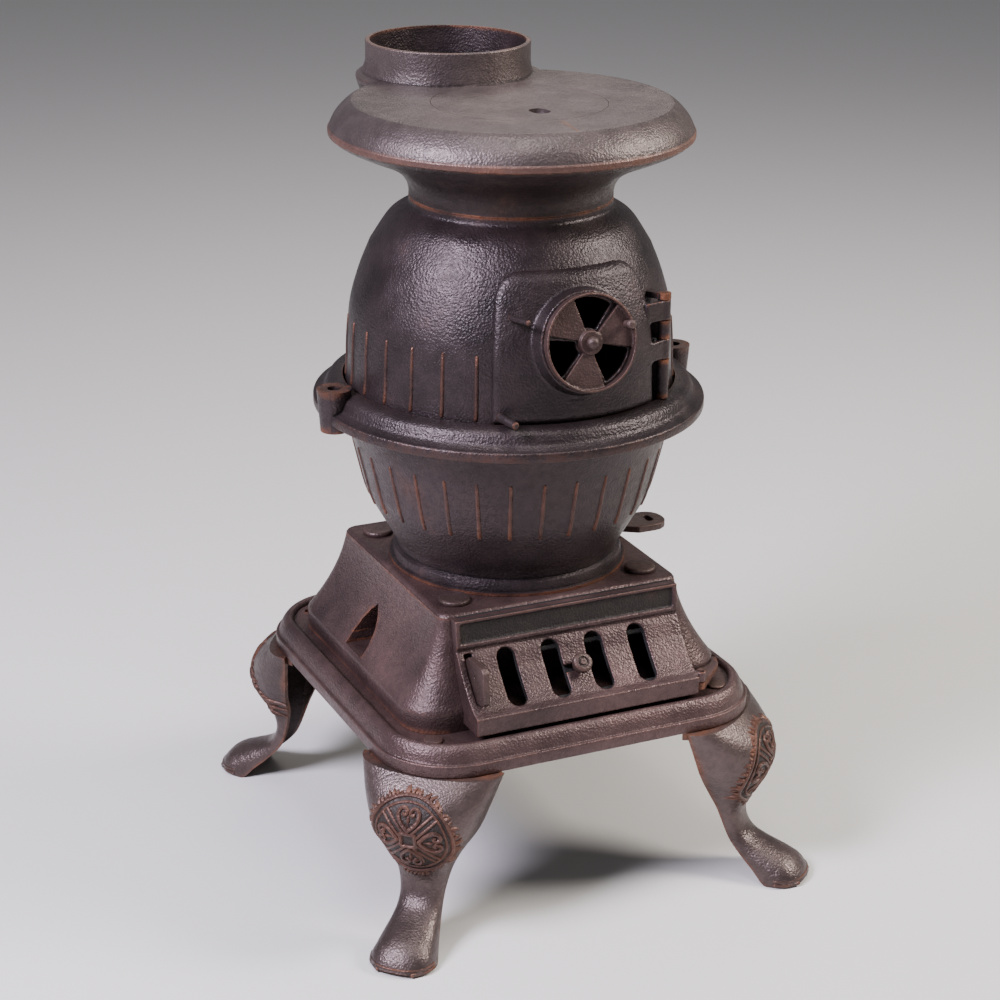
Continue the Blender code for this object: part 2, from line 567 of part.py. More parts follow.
mid, half = (T + B) / 2, (B - T).length / 2
bm = bmesh.new()
for x in SLOT_X:
    pts = [(x + p, q) for p, q in arc(0, -(half - 6.2), 9.5, 180, 360, 8) + arc(0, half - 7.4, 9.5, 0, 180, 8)]
    rows = []
    for w in (-30, 30):
        rows.append([bm.verts.new(Vector((p, mid.x + sd.x * q + sn.x * w, mid.y + sd.y * q + sn.y * w)) * MM)
                     for p, q in pts])
    k = len(pts)
    for i in range(k):
        j = (i + 1) % k
        bm.faces.new((rows[0][i], rows[0][j], rows[1][j], rows[1][i]))
    bm.faces.new(rows[0])
    bm.faces.new(rows[1])
bmesh.ops.recalc_face_normals(bm, faces=bm.faces)
slots = add("draft_slots", bm)
boolean(ash, slots)
KNOB_X = 0.9
KC = Vector((-160.7, 240.8))           # on the slope between the middle slots


def slope_block(bm, x0, x1, q0, q1, w0, w1):
    """Box laid on the slope: across, down and out of it."""
    rows = []
    for w in (w0, w1):
        rows.append([bm.verts.new(Vector((x, KC.x + sd.x * q + sn.x * w, KC.y + sd.y * q + sn.y * w)) * MM)
                     for x, q in ((x0, q0), (x1, q0), (x1, q1), (x0, q1))])
    for i in range(4):
        j = (i + 1) % 4
        bm.faces.new((rows[0][i], rows[0][j], rows[1][j], rows[1][i]))
    bm.faces.new(rows[0])
    bm.faces.new(rows[1])
    bmesh.ops.recalc_face_normals(bm, faces=bm.faces)


bm = bmesh.new()
slope_block(bm, -24, 5.1, -3.6, 3.6, -20, 20)
boolean(ash, add("knob_slot", bm))
bm = bmesh.new()
block(bm, (-110.2, -200, 226.5), (-101.8, -136, 265))
boolean(ash, add("latch_slit", bm))
bm = bmesh.new()
rod(bm, (AX, AY, 211.6), (AX, AY, 222.5), 5.1, seg=14)
boolean(ash, add("ash_knuckle", bm), "UNION")
bm = bmesh.new()
block(bm, (ASH_HALF - 3, AY - 4.4, 212), (AX, AY + 4.4, 218.6))
boolean(ash, add("ash_leaf", bm), "UNION")
bm = bmesh.new()
rod(bm, (AX, AY, 205), (AX, AY, 230), 2.6, seg=12)
boolean(ash, add("ash_pin_hole", bm))
bm = bmesh.new()
rod(bm, (AX, AY, 203.6), (AX, AY, 224), 2.3, seg=12)
add("ash_door_hinge_pin", bm, RUSTY, rough=0.7)

latch_pts = [(-146.6, 262.6), (-150.5, 265.6), (-180.5, 266), (-184.6, 262.4), (-187.4, 233.4), (-184.4, 229.6),
             (-172, 227.2), (-158, 229), (-146, 236), (-142.5, 248), (-143.4, 259)]
latch = prism("ash_door_latch", latch_pts, -109.2, -102.8, "x", rgb=RUSTY, rough=0.6, smooth=False)
bm = bmesh.new()
rod(bm, (-120, -166, 252), (-90, -166, 252), 1.8, seg=12)
rod(bm, (-120, *LATCH_PIVOT), (-90, *LATCH_PIVOT), 2.5, seg=12)
boolean(latch, add("latch_eyes", bm))
bm = bmesh.new()
rod(bm, (-115, *LATCH_PIVOT), (-105, *LATCH_PIVOT), 2.5, seg=12)
boolean(ash, add("latch_pin_seat", bm))
bm = bmesh.new()
rod(bm, (-114.6, *LATCH_PIVOT), (-100, *LATCH_PIVOT), 2.2, seg=12)
add("ash_door_latch_pin", bm, RUSTY, rough=0.7)

# draft slide behind the slope, with the knob riveted to it
slope = ASH_FRONT[3:8]
face = offset_line(slope, 5.8)
rear = offset_line(slope, 8.8)

slide = prism("draft_slide", face + rear[::-1], -58.6, 100, "x", rgb=DARK, rough=0.7, smooth=False)
bm = bmesh.new()
for x in SLOT_X[1:]:
    slope_block(bm, x - 10.2, x + 10.2, -22.4, 23.4, -30, 20)
boolean(slide, add("slide_windows", bm))
bm = bmesh.new()
ks = Vector((KNOB_X, KC.x, KC.y))
kn = Vector((0, sn.x, sn.y))
if kn.y > 0:
    kn = -kn
rod(bm, ks - kn * 20, ks + kn * 20, 2.9, seg=12)
boolean(slide, add("knob_shank_hole", bm))
kb = turned("draft_slide_knob", [(0, -9.4), (2.6, -9.4), (2.6, 1.2), (6.6, 1.2), (7.2, 5.4), (9.4, 7.6), (9.9, 10.6), (9.2, 13),
                                 (7.8, 14), (5.4, 14.2), (4.8, 13.1), (3.3, 13.1), (2.9, 14.5), (1.3, 14.7), (0, 14)], RUSTY, seg=14,
            rough=0.5)
kb.rotation_euler = (math.atan2(-kn.y, kn.z), 0, 0)
kb.location = ks * MM

# ---------------------------------------------------------------- base tray
N_TRAY = 7


def tray(d, z):
    return at_z(rrect(TRAY_HX - d, TRAY_HY - d, TRAY_RC - d, N_TRAY), z)


base_tray = add("base_tray", loft([tray(22, 187.6), tray(11, 185.8), tray(6, 178), tray(5.4, TRAY_Z0), tray(0.8, TRAY_Z0),
                                   tray(0, TRAY_Z0 + 1), tray(0, 181.6), tray(0.9, 182.6), tray(3, 183.4),
                                   tray(4.6, 187.6), tray(7.6, 193.4), tray(11, 197.4), tray(13.6, 198.8), tray(16, 198.4),
                                   tray(18, 196.6), tray(18.8, TRAY_FLOOR)]), RUSTY, rough=0.6)
bm = bmesh.new()
for sx in (-1, 1):
    for sy in (-1, 1):
        rod(bm, (sx * LEG_BOLT[0], sy * LEG_BOLT[1], 160), (sx * LEG_BOLT[0], sy * LEG_BOLT[1], 210), 4.6, seg=12)
boolean(base_tray, add("leg_bolt_holes", bm))

# ---------------------------------------------------------------- legs
CX, CY = TRAY_HX - TRAY_RC, TRAY_HY - TRAY_RC
S0 = (CX + CY) / math.sqrt(2)
cd, sdg = math.cos(LEG_DIR), math.sin(LEG_DIR)


def leg_point(s, t, z, sx, sy):
    s -= S0
    return mirror_sign((CX + s * cd - t * sdg, CY + s * sdg + t * cd, z), sx, sy)


def leg_section(o, b, w, q, full, sx, sy, n=6):
    """Crescent across the leg: a rounded outer face and a hollow back."""
    outer, inn = [], []
    so, zo = o
    sb, zb = b
    for k in range(n + 1):
        a = math.pi * k / n
        t, h = -w * math.cos(a), max(0.0, math.sin(a)) ** full
        outer.append(leg_point(sb + (so - sb) * h, t, zb + (zo - zb) * h, sx, sy))
    length = math.hypot(so - sb, zo - zb)
    deep = q * max(0.0, 1 - 7 / length)
    wi = w - 6.5 * q - 1.5 * (1 - q)
    for k in range(n + 1):
        a = math.pi * (n - k) / n
        t, h = -wi * math.cos(a), math.sin(a) * deep
        inn.append(leg_point(sb + (so - sb) * h, t, zb + (zo - zb) * h, sx, sy))
    return outer + inn


def leg_plate(sx, sy):
    """Top plate that the bolt goes through, inside the leg's knee."""
    pts = []
    for k in range(9):
        a = math.pi * k / 8
        pts.append(leg_point(209.5 + 40 * max(0.0, math.sin(a)) ** 0.85, -65 * math.cos(a), 0, sx, sy)[:2])
    return pts


for sy, row in ((-1, "front"), (1, "back")):
    for sx, side in ((-1, "left"), (1, "right")):
        nm = "leg_%s_%s" % (row, side)
        leg = add(nm, loft([leg_section(*L, sx, sy) for L in LEG]), IRON, rough=0.5)
        boolean(leg, prism(nm + "_plate", leg_plate(sx, sy), 161, 169.7), "UNION")
        x, y = sx * LEG_BOLT[0], sy * LEG_BOLT[1]
        bm = bmesh.new()
        rod(bm, (x, y, 162), (x, y, 185.5), 9.5, seg=12)
        boolean(leg, add(nm + "_boss", bm), "UNION")
        bm = bmesh.new()
        rod(bm, (x, y, 150), (x, y, 200), 4.6, seg=12)
        boolean(leg, add(nm + "_hole", bm))
        if (row, side) != ("back", "left"):
            b = turned("leg_bolt_%s_%s" % (row, side), [(0, 166), (4, 166), (4, 193.9), (9.2, 193.9), (9.2, 195.2),
                                                       (8.2, 196.2), (0, 196.4)], RUSTY, seg=12, rough=0.6)
            b.location = (x * MM, y * MM, 0)
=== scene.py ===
import json
import math
import random

import bmesh
import bpy
import numpy as np
from mathutils import Matrix, Vector, noise

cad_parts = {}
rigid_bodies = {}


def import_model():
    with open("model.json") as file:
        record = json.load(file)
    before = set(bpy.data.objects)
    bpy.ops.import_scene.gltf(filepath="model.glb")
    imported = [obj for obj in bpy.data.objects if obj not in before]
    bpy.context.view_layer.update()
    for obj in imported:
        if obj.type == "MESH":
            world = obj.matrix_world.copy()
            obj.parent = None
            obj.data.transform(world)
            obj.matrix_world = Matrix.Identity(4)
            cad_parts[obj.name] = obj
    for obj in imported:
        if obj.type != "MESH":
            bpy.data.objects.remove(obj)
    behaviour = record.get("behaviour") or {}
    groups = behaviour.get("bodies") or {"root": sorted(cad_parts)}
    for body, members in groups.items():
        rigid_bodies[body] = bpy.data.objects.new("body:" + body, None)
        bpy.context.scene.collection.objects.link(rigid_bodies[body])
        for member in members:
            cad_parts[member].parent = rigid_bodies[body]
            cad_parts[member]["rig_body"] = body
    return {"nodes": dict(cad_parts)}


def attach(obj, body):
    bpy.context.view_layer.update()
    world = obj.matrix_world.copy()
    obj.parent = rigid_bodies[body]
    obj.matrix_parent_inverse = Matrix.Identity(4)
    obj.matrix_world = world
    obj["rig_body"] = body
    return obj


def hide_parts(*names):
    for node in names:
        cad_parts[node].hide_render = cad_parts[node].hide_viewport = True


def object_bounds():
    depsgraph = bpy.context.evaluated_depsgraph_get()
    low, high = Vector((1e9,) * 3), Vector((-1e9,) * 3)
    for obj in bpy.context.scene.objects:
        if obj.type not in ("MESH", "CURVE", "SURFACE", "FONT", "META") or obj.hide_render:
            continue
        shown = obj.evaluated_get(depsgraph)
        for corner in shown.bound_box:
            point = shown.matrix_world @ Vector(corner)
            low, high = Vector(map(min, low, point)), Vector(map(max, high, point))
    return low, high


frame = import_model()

CAD_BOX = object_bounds()
NODES = frame["nodes"]
NODE_BODY = {n: o["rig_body"] for n, o in NODES.items()}
random.seed(7)

MM = 0.001
GAP = 0.3                     # air between castings that touch

# turned bodies: (radius, height) in millimetres on the stove's axis
SEG = 128
DOME_OUT = [(159.0, 474.4), (156.3, 500), (155.3, 530), (152.5, 560), (144.1, 590),
            (134.1, 615), (121.5, 635), (115, 643), (108, 648), (101, 651.5), (97.5, 653.5), (96.5, 657), (96.5, 660.9)]
DOME_WALL = 5.0
BOWL_OUT = [(108.2, 313), (109.2, 316), (110, 320), (124.3, 345), (137.5, 370),
            (145.7, 400), (153.2, 430), (158.8, 450), (160.2, 459)]
BOWL_WALL = 6.0
PLATE_R, RIM_R = 150.6, 171.5
PLATE_Z, RIM_Z0, RIM_Z1 = 750.65, 719.7, 726.0
COLLAR_Y, COLLAR_R, COLLAR_WALL, COLLAR_TOP = 148.2, 81.0, 4.4, 781.8
LID_R, LID_Y, LID_T = 82.0, -16.0, 8.8
RIB_STEP = 12.0

# fire door, draft wheel and hinge
DOOR_HALF_ANGLE, DOOR_Z0, DOOR_Z1 = 31.0, 487.2, 623.0
DOOR_RISE, DOOR_CORNER = 7.0, 26.0
HINGE_X, HINGE_Y = 96.3, -130.3
WHEEL_C, WHEEL_TILT = (0.0, -175.1, 564.5), 11.4
WHEEL_R, BOSS_R = 44.9, 46.6

# ash box, ash door and tray
PED_TOP_Z, PED_FLARE_Z, PED_Z0 = 299.0, 214.0, 194.0
PED_TOP_H, PED_DX, PED_DY, PED_RC0, PED_RC1 = 125.0, 40.0, 31.0, 12.0, 38.0
PED_WALL = 6.0
ASH_HALF = 116.6
ASH_FRONT = [(-139, 297.5), (-142, 271.5), (-140, 268), (-145, 262), (-153, 250), (-163, 239),
             (-172, 229.5), (-182, 222.3), (-190, 219.5), (-190, 202.2)]
ASH_HINGE = (122.3, -182.0)
LATCH_PIVOT = (-150.5, 239.5)
SLOT_X = (-68.5, -22.7, 22.7, 68.5)
TRAY_HX, TRAY_HY, TRAY_RC = 194.5, 204.5, 76.0
TRAY_Z0, TRAY_FLOOR = 170.6, 193.6
BOLT_XY = (99.0, 95.4)
LEG_BOLT = (150.0, 164.0)
LEG_DIR = math.radians(46.5)

# legs: outer point (s, z), back point (s, z), half width, hollowness, fullness of the outer face
LEG = [((252, 170), (216, 170), 69.5, 1, .85), ((265, 159), (217, 160), 66, 1, .8), ((275.5, 147), (219.5, 148), 62, 1, .75),
       ((281, 133), (222, 134), 57, 1, .7), ((281, 121), (224.5, 121.5), 52.5, 1, .68), ((277.5, 110), (227, 110), 47, 1, .65),
       ((272, 99), (229, 99.5), 40, 1, .65), ((265.5, 87), (232, 87), 32.5, 1, .65), ((259.5, 75), (236, 75), 27, 1, .65),
       ((257.2, 63), (240, 62), 23.5, 1, .65), ((260, 51), (244.5, 49), 21.5, .9, .65), ((267, 42), (251, 37), 21.5, .7, .65),
       ((278, 36), (262, 25), 23.5, .4, .65), ((291, 31), (276, 12.5), 27, 0, .65), ((304, 26), (287, 1.5), 30, 0, .65),
       ((313.5, 20), (294, 0), 31, 0, .65), ((320.5, 12), (304, 0), 28.5, 0, .7), ((324.5, 4.5), (314, 0), 22, 0, .7)]

scene = bpy.context.scene
PARTS = bpy.data.collections.new("visual")
CUT = bpy.data.collections.new("cutters")
scene.collection.children.link(PARTS)
scene.collection.children.link(CUT)
HOW = {}                       # piece -> how it is finished; stays empty, nothing fills it


def spline(pts, k=4):
    """Smooth line through points of any dimension, k steps between neighbours."""
    out = []
    n = len(pts)
    for i in range(n - 1):
        p1, p2 = np.array(pts[i], float), np.array(pts[i + 1], float)
        p0 = np.array(pts[i - 1], float) if i else 2 * p1 - p2
        p3 = np.array(pts[i + 2], float) if i + 2 < n else 2 * p2 - p1
        for j in range(k):
            t = j / k
            out.append(tuple(0.5 * (2 * p1 + (p2 - p0) * t + (2 * p0 - 5 * p1 + 4 * p2 - p3) * t * t
                                    + (3 * p1 - p0 - 3 * p2 + p3) * t ** 3)))
    out.append(tuple(float(v) for v in pts[-1]))
    return out


IRON = (0.055, 0.048, 0.048)
RUSTY = (0.085, 0.055, 0.047)
WORN = (0.16, 0.14, 0.135)
DARK = (0.02, 0.018, 0.018)


def add(name, bm_or_mesh, rgb=None, rough=0.55, metal=0.6, smooth=True):
    """New object: a visible piece, or a cutter when rgb is None."""
    name = ("v_" if rgb is not None else "c_") + name
    if isinstance(bm_or_mesh, bmesh.types.BMesh):
        me = bpy.data.meshes.new(name)
        bmesh.ops.recalc_face_normals(bm_or_mesh, faces=bm_or_mesh.faces)
        bm_or_mesh.to_mesh(me)
        bm_or_mesh.free()
    else:
        me = bm_or_mesh
    o = bpy.data.objects.new(name, me)
    if rgb is None:
        CUT.objects.link(o)
        o.hide_render = True
        o.display_type = "WIRE"
    else:
        PARTS.objects.link(o)
    return o


def mirror_sign(p, sx, sy):
    return (p[0] * sx, p[1] * sy, p[2])


def loft(sections, closed_caps=True, rings=True):
    """Closed solid through sections of equal point count."""
    bm = bmesh.new()
    rows = [[bm.verts.new(Vector(p) * MM) for p in s] for s in sections]
    n = len(rows[0])
    for a, b in zip(rows, rows[1:]):
        for i in range(n):
            j = (i + 1) % n
            bm.faces.new((a[i], a[j], b[j], b[i]))
    if closed_caps:
        bm.faces.new(rows[0])
        bm.faces.new(rows[-1])
    else:
        a, b = rows[-1], rows[0]
        for i in range(n):
            j = (i + 1) % n
            bm.faces.new((a[i], a[j], b[j], b[i]))
    bmesh.ops.recalc_face_normals(bm, faces=bm.faces)
    return bm


def turned(name, profile, rgb=None, seg=SEG, y=0.0, **kw):
    """Closed profile of (r, z) turned a full circle about a vertical axis through (0, y)."""
    area = sum(a[0] * b[1] - b[0] * a[1] for a, b in zip(profile, profile[1:] + profile[:1]))
    if area > 0:                       # the outer side runs from top to bottom
        profile = profile[::-1]
    bm = bmesh.new()
    vs = [bm.verts.new((r * MM, 0, z * MM)) for r, z in profile]
    solid = sum(r == 0 for r, _ in profile) == 2
    if solid:                          # both ends on the axis: the line between them stays open
        while profile[0][0] != 0 or profile[-1][0] != 0:
            profile, vs = profile[1:] + profile[:1], vs[1:] + vs[:1]
    for a, b in zip(vs, vs[1:] if solid else vs[1:] + vs[:1]):
        bm.edges.new((a, b))
    me = bpy.data.meshes.new(name)
    bm.to_mesh(me)
    bm.free()
    o = add(name, me, rgb, **kw)
    o.location = (0, y * MM, 0)
    s = o.modifiers.new("turn", "SCREW")
    s.angle, s.steps, s.render_steps = math.tau, seg, seg
    s.use_merge_vertices, s.merge_threshold = True, 1e-5
    s.use_normal_calculate = False
    s.use_smooth_shade = True
    return o


def prism(name, pts, a, b, axis="z", rgb=None, **kw):
    """Flat outline drawn on the plane across an axis and carried from a to b."""
    put = {"z": lambda u, v, w: (u, v, w), "x": lambda u, v, w: (w, u, v), "y": lambda u, v, w: (u, w, v)}[axis]
    return add(name, loft([[put(u, v, a) for u, v in pts], [put(u, v, b) for u, v in pts]]), rgb, **kw)


def rod(bm, p, q, r1, r2=None, seg=16):
    """Cylinder or cone from p to q in an open bmesh, in millimetres."""
    p, q = Vector(p) * MM, Vector(q) * MM
    d = q - p
    m = Matrix.Translation((p + q) / 2) @ d.to_track_quat("Z", "Y").to_matrix().to_4x4()
    bmesh.ops.create_cone(bm, cap_ends=True, segments=seg, radius1=r1 * MM,
                          radius2=(r1 if r2 is None else r2) * MM, depth=d.length, matrix=m)


def block(bm, lo, hi):
    c = [(a + b) / 2 * MM for a, b in zip(lo, hi)]
    s = [(b - a) * MM for a, b in zip(lo, hi)]
    bmesh.ops.create_cube(bm, size=1, matrix=Matrix.Translation(c) @ Matrix.Diagonal((*s, 1)))


def boolean(target, tool, op="DIFFERENCE"):
    m = target.modifiers.new(op.lower(), "BOOLEAN")
    m.operation, m.object, m.solver = op, tool, "EXACT"
    return m


def soften(o, width=1.0, segments=1, angle=40):
    m = o.modifiers.new("edge", "BEVEL")
    m.width, m.segments, m.limit_method, m.angle_limit = width * MM, segments, "ANGLE", math.radians(angle)
    return m


def interp(table, z):
    """Radius of a turned wall at height z."""
    for (r0, z0), (r1, z1) in zip(table, table[1:]):
        if z0 <= z <= z1:
            return r0 + (r1 - r0) * (z - z0) / (z1 - z0)
    return table[0][0] if z < table[0][1] else table[-1][0]


def arc(cx, cy, r, a0, a1, n):
    return [(cx + r * math.cos(math.radians(a0 + (a1 - a0) * i / n)),
             cy + r * math.sin(math.radians(a0 + (a1 - a0) * i / n))) for i in range(n + 1)]


def rrect(hx, hy, rc, n=20):
    """Rounded rectangle, anticlockwise, n steps a corner."""
    out = []
    for sx, sy, a in ((1, 1, 0), (-1, 1, 90), (-1, -1, 180), (1, -1, 270)):
        out += arc(sx * (hx - rc), sy * (hy - rc), rc, a, a + 90, n)
    return out


def at_z(pts, z):
    return [(x, y, z) for x, y in pts]


def ring(cy, r, z, n=SEG):
    return [(r * math.cos(math.tau * i / n), cy + r * math.sin(math.tau * i / n), z) for i in range(n)]


def offset_line(pts, d):
    """Open line moved sideways by d (to its left when d is positive)."""
    out = []
    for i, p in enumerate(pts):
        ns = []
        for a, b in ((i - 1, i), (i, i + 1)):
            if a < 0 or b >= len(pts):
                continue
            v = Vector(pts[b]) - Vector(pts[a])
            ns.append(Vector((-v.y, v.x)).normalized())
        n = sum(ns, Vector((0, 0)))
        n.normalize()
        k = d / max(0.5, n.dot(ns[0]))
        out.append((p[0] + n.x * k, p[1] + n.y * k))
    return out


def tube(bm, pts, r, seg=8, r_end=None):
    """Round bar through points in millimetres, with round ends; r may be a list."""
    pts = [Vector(p) for p in pts]
    rs = list(r) if isinstance(r, (list, tuple)) else [r] * len(pts)
    side = None
    rows = []
    for i, p in enumerate(pts):
        d = (pts[min(i + 1, len(pts) - 1)] - pts[max(i - 1, 0)]).normalized()
        if side is None:
            side = d.orthogonal().normalized()
        side = (side - d * side.dot(d)).normalized()
        up = d.cross(side)
        rows.append([p + (side * math.cos(math.tau * k / seg) + up * math.sin(math.tau * k / seg)) * rs[i]
                     for k in range(seg)])
        if i == 0:
            first = [[p - d * rs[0] * math.sin(a) + (side * math.cos(math.tau * k / seg)
                      + up * math.sin(math.tau * k / seg)) * rs[0] * math.cos(a) for k in range(seg)]
                     for a in (1.25, 0.75)]
        if i == len(pts) - 1:
            last = [[p + d * rs[i] * math.sin(a) + (side * math.cos(math.tau * k / seg)
                     + up * math.sin(math.tau * k / seg)) * rs[i] * math.cos(a) for k in range(seg)]
                    for a in (0.75, 1.25)]
    rows = first + rows + last
    vs = [[bm.verts.new(q * MM) for q in row] for row in rows]
    for u, v in zip(vs, vs[1:]):
        for k in range(seg):
            j = (k + 1) % seg
            bm.faces.new((u[k], u[j], v[j], v[k]))
    bm.faces.new(vs[0][::-1])
    bm.faces.new(vs[-1])


def ribs(name, wall, z0, z1, angles, radius=2.3, proud=1.5):
    """Slim half-buried round bars that follow a turned wall."""
    bm = bmesh.new()
    for a in angles:
        t = math.radians(a)
        zs = [z0 + (z1 - z0) * k / 6 for k in range(7)]
        tube(bm, [((interp(wall, z) - radius + proud) * math.sin(t), -(interp(wall, z) - radius + proud) * math.cos(t), z)
                  for z in zs], [radius] * 4 + [radius * .95, radius * .88, radius * .8], 10)
    return add(name, bm, IRON)


DOME_COARSE, BOWL_COARSE = DOME_OUT, BOWL_OUT
DOME_OUT = spline(DOME_OUT[:6], 5)[:-1] + spline(DOME_OUT[5:11], 4)[:-1] + [(96.9, 654.6), (96.6, 656), (96.5, 658), (96.5, 660.9)]
BOWL_OUT = BOWL_OUT[:2] + spline(BOWL_OUT[2:], 5)


# ---------------------------------------------------------------- cook top and lid
cook_top = turned("cook_top", [(60, PLATE_Z), (PLATE_R - 1.6, PLATE_Z), (PLATE_R - .6, PLATE_Z - .15)] + spline([(PLATE_R + .4, PLATE_Z - .7),
                               (154.5, 747.9), (160, 742.9), (165.2, 736.8), (168.6, 730.6), (170.1, RIM_Z1 + .4)], 5) + [
                               (RIM_R - .5, RIM_Z1 - .4), (RIM_R, RIM_Z1 - 1.4), (RIM_R, RIM_Z0 + 1.2),
                               (RIM_R - .3, RIM_Z0 + .4), (RIM_R - 1.1, RIM_Z0),
                               (163, RIM_Z0), (157, 727), (146, 735), (60, 735)], WORN, rough=0.5, metal=0.55)
skirt = add("cook_top_skirt", loft([ring(145, 85.4, RIM_Z0), ring(145, 86.2, RIM_Z0 + 1), ring(145, 88, 735),
                                   ring(145, 91.2, 744), ring(145.05, 91.7, 747), ring(145.1, 91.4, 749), ring(147, 89, 750.1),
                                   ring(150.9, 84.3, 751.2), ring(150.2, 83.4, 753), ring(149.3, 82.4, 756),
                                   ring(148.6, 81.6, 759),
                                   ring(COLLAR_Y, COLLAR_R, 762), ring(COLLAR_Y, COLLAR_R, COLLAR_TOP - .9),
                                   ring(COLLAR_Y, COLLAR_R - .3, COLLAR_TOP - .3),
                                   ring(COLLAR_Y, COLLAR_R - .9, COLLAR_TOP)]))
boolean(cook_top, skirt, "UNION")
flue = COLLAR_R - COLLAR_WALL
boolean(cook_top, add("flue_bore", loft([ring(145, 80.4, 700), ring(145, 80.4, 734), ring(146.5, 79, 740),
                                         ring(COLLAR_Y, flue, 746), ring(COLLAR_Y, flue, 790)])))
boolean(cook_top, turned("plate_chamber", [(0, 700), (151, 700), (151, 729), (142, 734.99), (0, 734.99)]))
bm = bmesh.new()
rod(bm, (0, LID_Y, 765), (0, LID_Y, PLATE_Z - LID_T - GAP), LID_R + .4, seg=SEG)
boolean(cook_top, add("lid_rebate", bm))
bm = bmesh.new()
rod(bm, (0, LID_Y, 745), (0, LID_Y, 725), 74, seg=SEG)
boolean(cook_top, add("lid_hole", bm))

bm = bmesh.new()
rod(bm, (0, LID_Y, PLATE_Z - LID_T), (0, LID_Y, PLATE_Z), LID_R, seg=SEG)
lid = add("stove_lid", bm, WORN, rough=0.5, metal=0.55, smooth=False)
boolean(lid, prism("lifter_notch", arc(0, -61, 9, 180, 360, 8) + arc(0, -56, 9, 0, 180, 8), PLATE_Z - 6, PLATE_Z + 3))

# ---------------------------------------------------------------- neck
NECK_OUT = [(96.5, 661.2), (96.6, 668), (99, 676), (105.5, 685), (117, 693), (131, 700), (149, 707.5), (164, 714.5),
            (169.5, RIM_Z0 - GAP)]
neck = turned("neck", [(0, 661.2)] + spline(NECK_OUT, 4) + [(0, RIM_Z0 - GAP)], IRON)
boolean(neck, add("neck_pan", loft([ring(115, 38, 690), ring(127, 60, 697), ring(139, 77.5, 705), ring(144.4, 84.4, 713),
                                    ring(145, 85.6, RIM_Z0 - GAP)])), "UNION")
boolean(neck, turned("neck_bore", [(0, 650), (91, 650), (91, 669), (93.5, 678), (100.5, 689), (113, 698), (128, 705.5),
                                   (146, 712.5), (160, 719), (160, 740), (0, 740)]))
boolean(neck, add("pan_bore", loft([ring(112, 28, 697.3), ring(126, 52, 703.4), ring(138, 70.5, 709.6), ring(144.4, 78.4, 717),
                                    ring(144.9, 79.3, 741)])))

# ---------------------------------------------------------------- dome with its ribs, opening and hinge lugs
inner = offset_line(DOME_COARSE, DOME_WALL)
inner[0] = (DOME_OUT[0][0] - DOME_WALL, DOME_OUT[0][1])
inner[-1] = (91.5, 660.9)
dome = turned("dome", DOME_OUT + inner[::-1], IRON)
ribs("dome_ribs", DOME_OUT, 489, 547, list(range(48, 325, int(RIB_STEP))))
bm = bmesh.new()
for z0, z1 in ((583, 588.6), (545.4, 562.6), (487.4, 525.2)):
    rod(bm, (HINGE_X, HINGE_Y, z0), (HINGE_X, HINGE_Y, z1), 6.2, seg=32)
hinge_lugs = add("hinge_lugs", bm)
boolean(dome, hinge_lugs, "UNION")
rad = math.hypot(HINGE_X, HINGE_Y)
ux, uy = HINGE_X / rad, HINGE_Y / rad
bm = bmesh.new()
for z0, z1 in ((583, 588.6), (545.4, 562.6), (487.4, 525.2)):
    r0 = max(118, interp(DOME_OUT, (z0 + z1) / 2) - 3.5)
    c = Vector((ux * (r0 + rad) / 2, uy * (r0 + rad) / 2, (z0 + z1) / 2)) * MM
    m = Matrix.Translation(c) @ Matrix.Rotation(math.atan2(uy, ux), 4, "Z") @ Matrix.Diagonal(
        ((rad - r0) * MM, 9.6 * MM, (z1 - z0) * MM, 1))
    bmesh.ops.create_cube(bm, size=1, matrix=m)
boolean(dome, add("hinge_webs", bm), "UNION")
OPEN_W, OPEN_Z0, OPEN_Z1 = 68, 497, 608
opening = [(-OPEN_W, OPEN_Z0), (OPEN_W, OPEN_Z0)] + arc(OPEN_W - 20, OPEN_Z1 - 20, 20, 0, 90, 5) + arc(
    -OPEN_W + 20, OPEN_Z1 - 20, 20, 90, 180, 5)
boolean(dome, prism("fire_opening", opening, -190, -60, "y"))
bm = bmesh.new()
rod(bm, (HINGE_X, HINGE_Y, 519), (HINGE_X, HINGE_Y, 592), 2.9, seg=32)
pin_hole = add("hinge_pin_hole", bm)
boolean(dome, pin_hole)


# ---------------------------------------------------------------- fire door
def door_rise(d):
    """Height of the door's face over the dome, d millimetres in from its outline."""
    steps = ((0, 1.2), (.8, 3.1), (1.6, 4.4), (3, 5.5), (4.6, 6.3), (6.5, 6.75), (9, DOOR_RISE))
    for (d0, h0), (d1, h1) in zip(steps, steps[1:]):
        if d <= d1:
            return h0 + (h1 - h0) * max(0, d - d0) / (d1 - d0)
    return DOOR_RISE


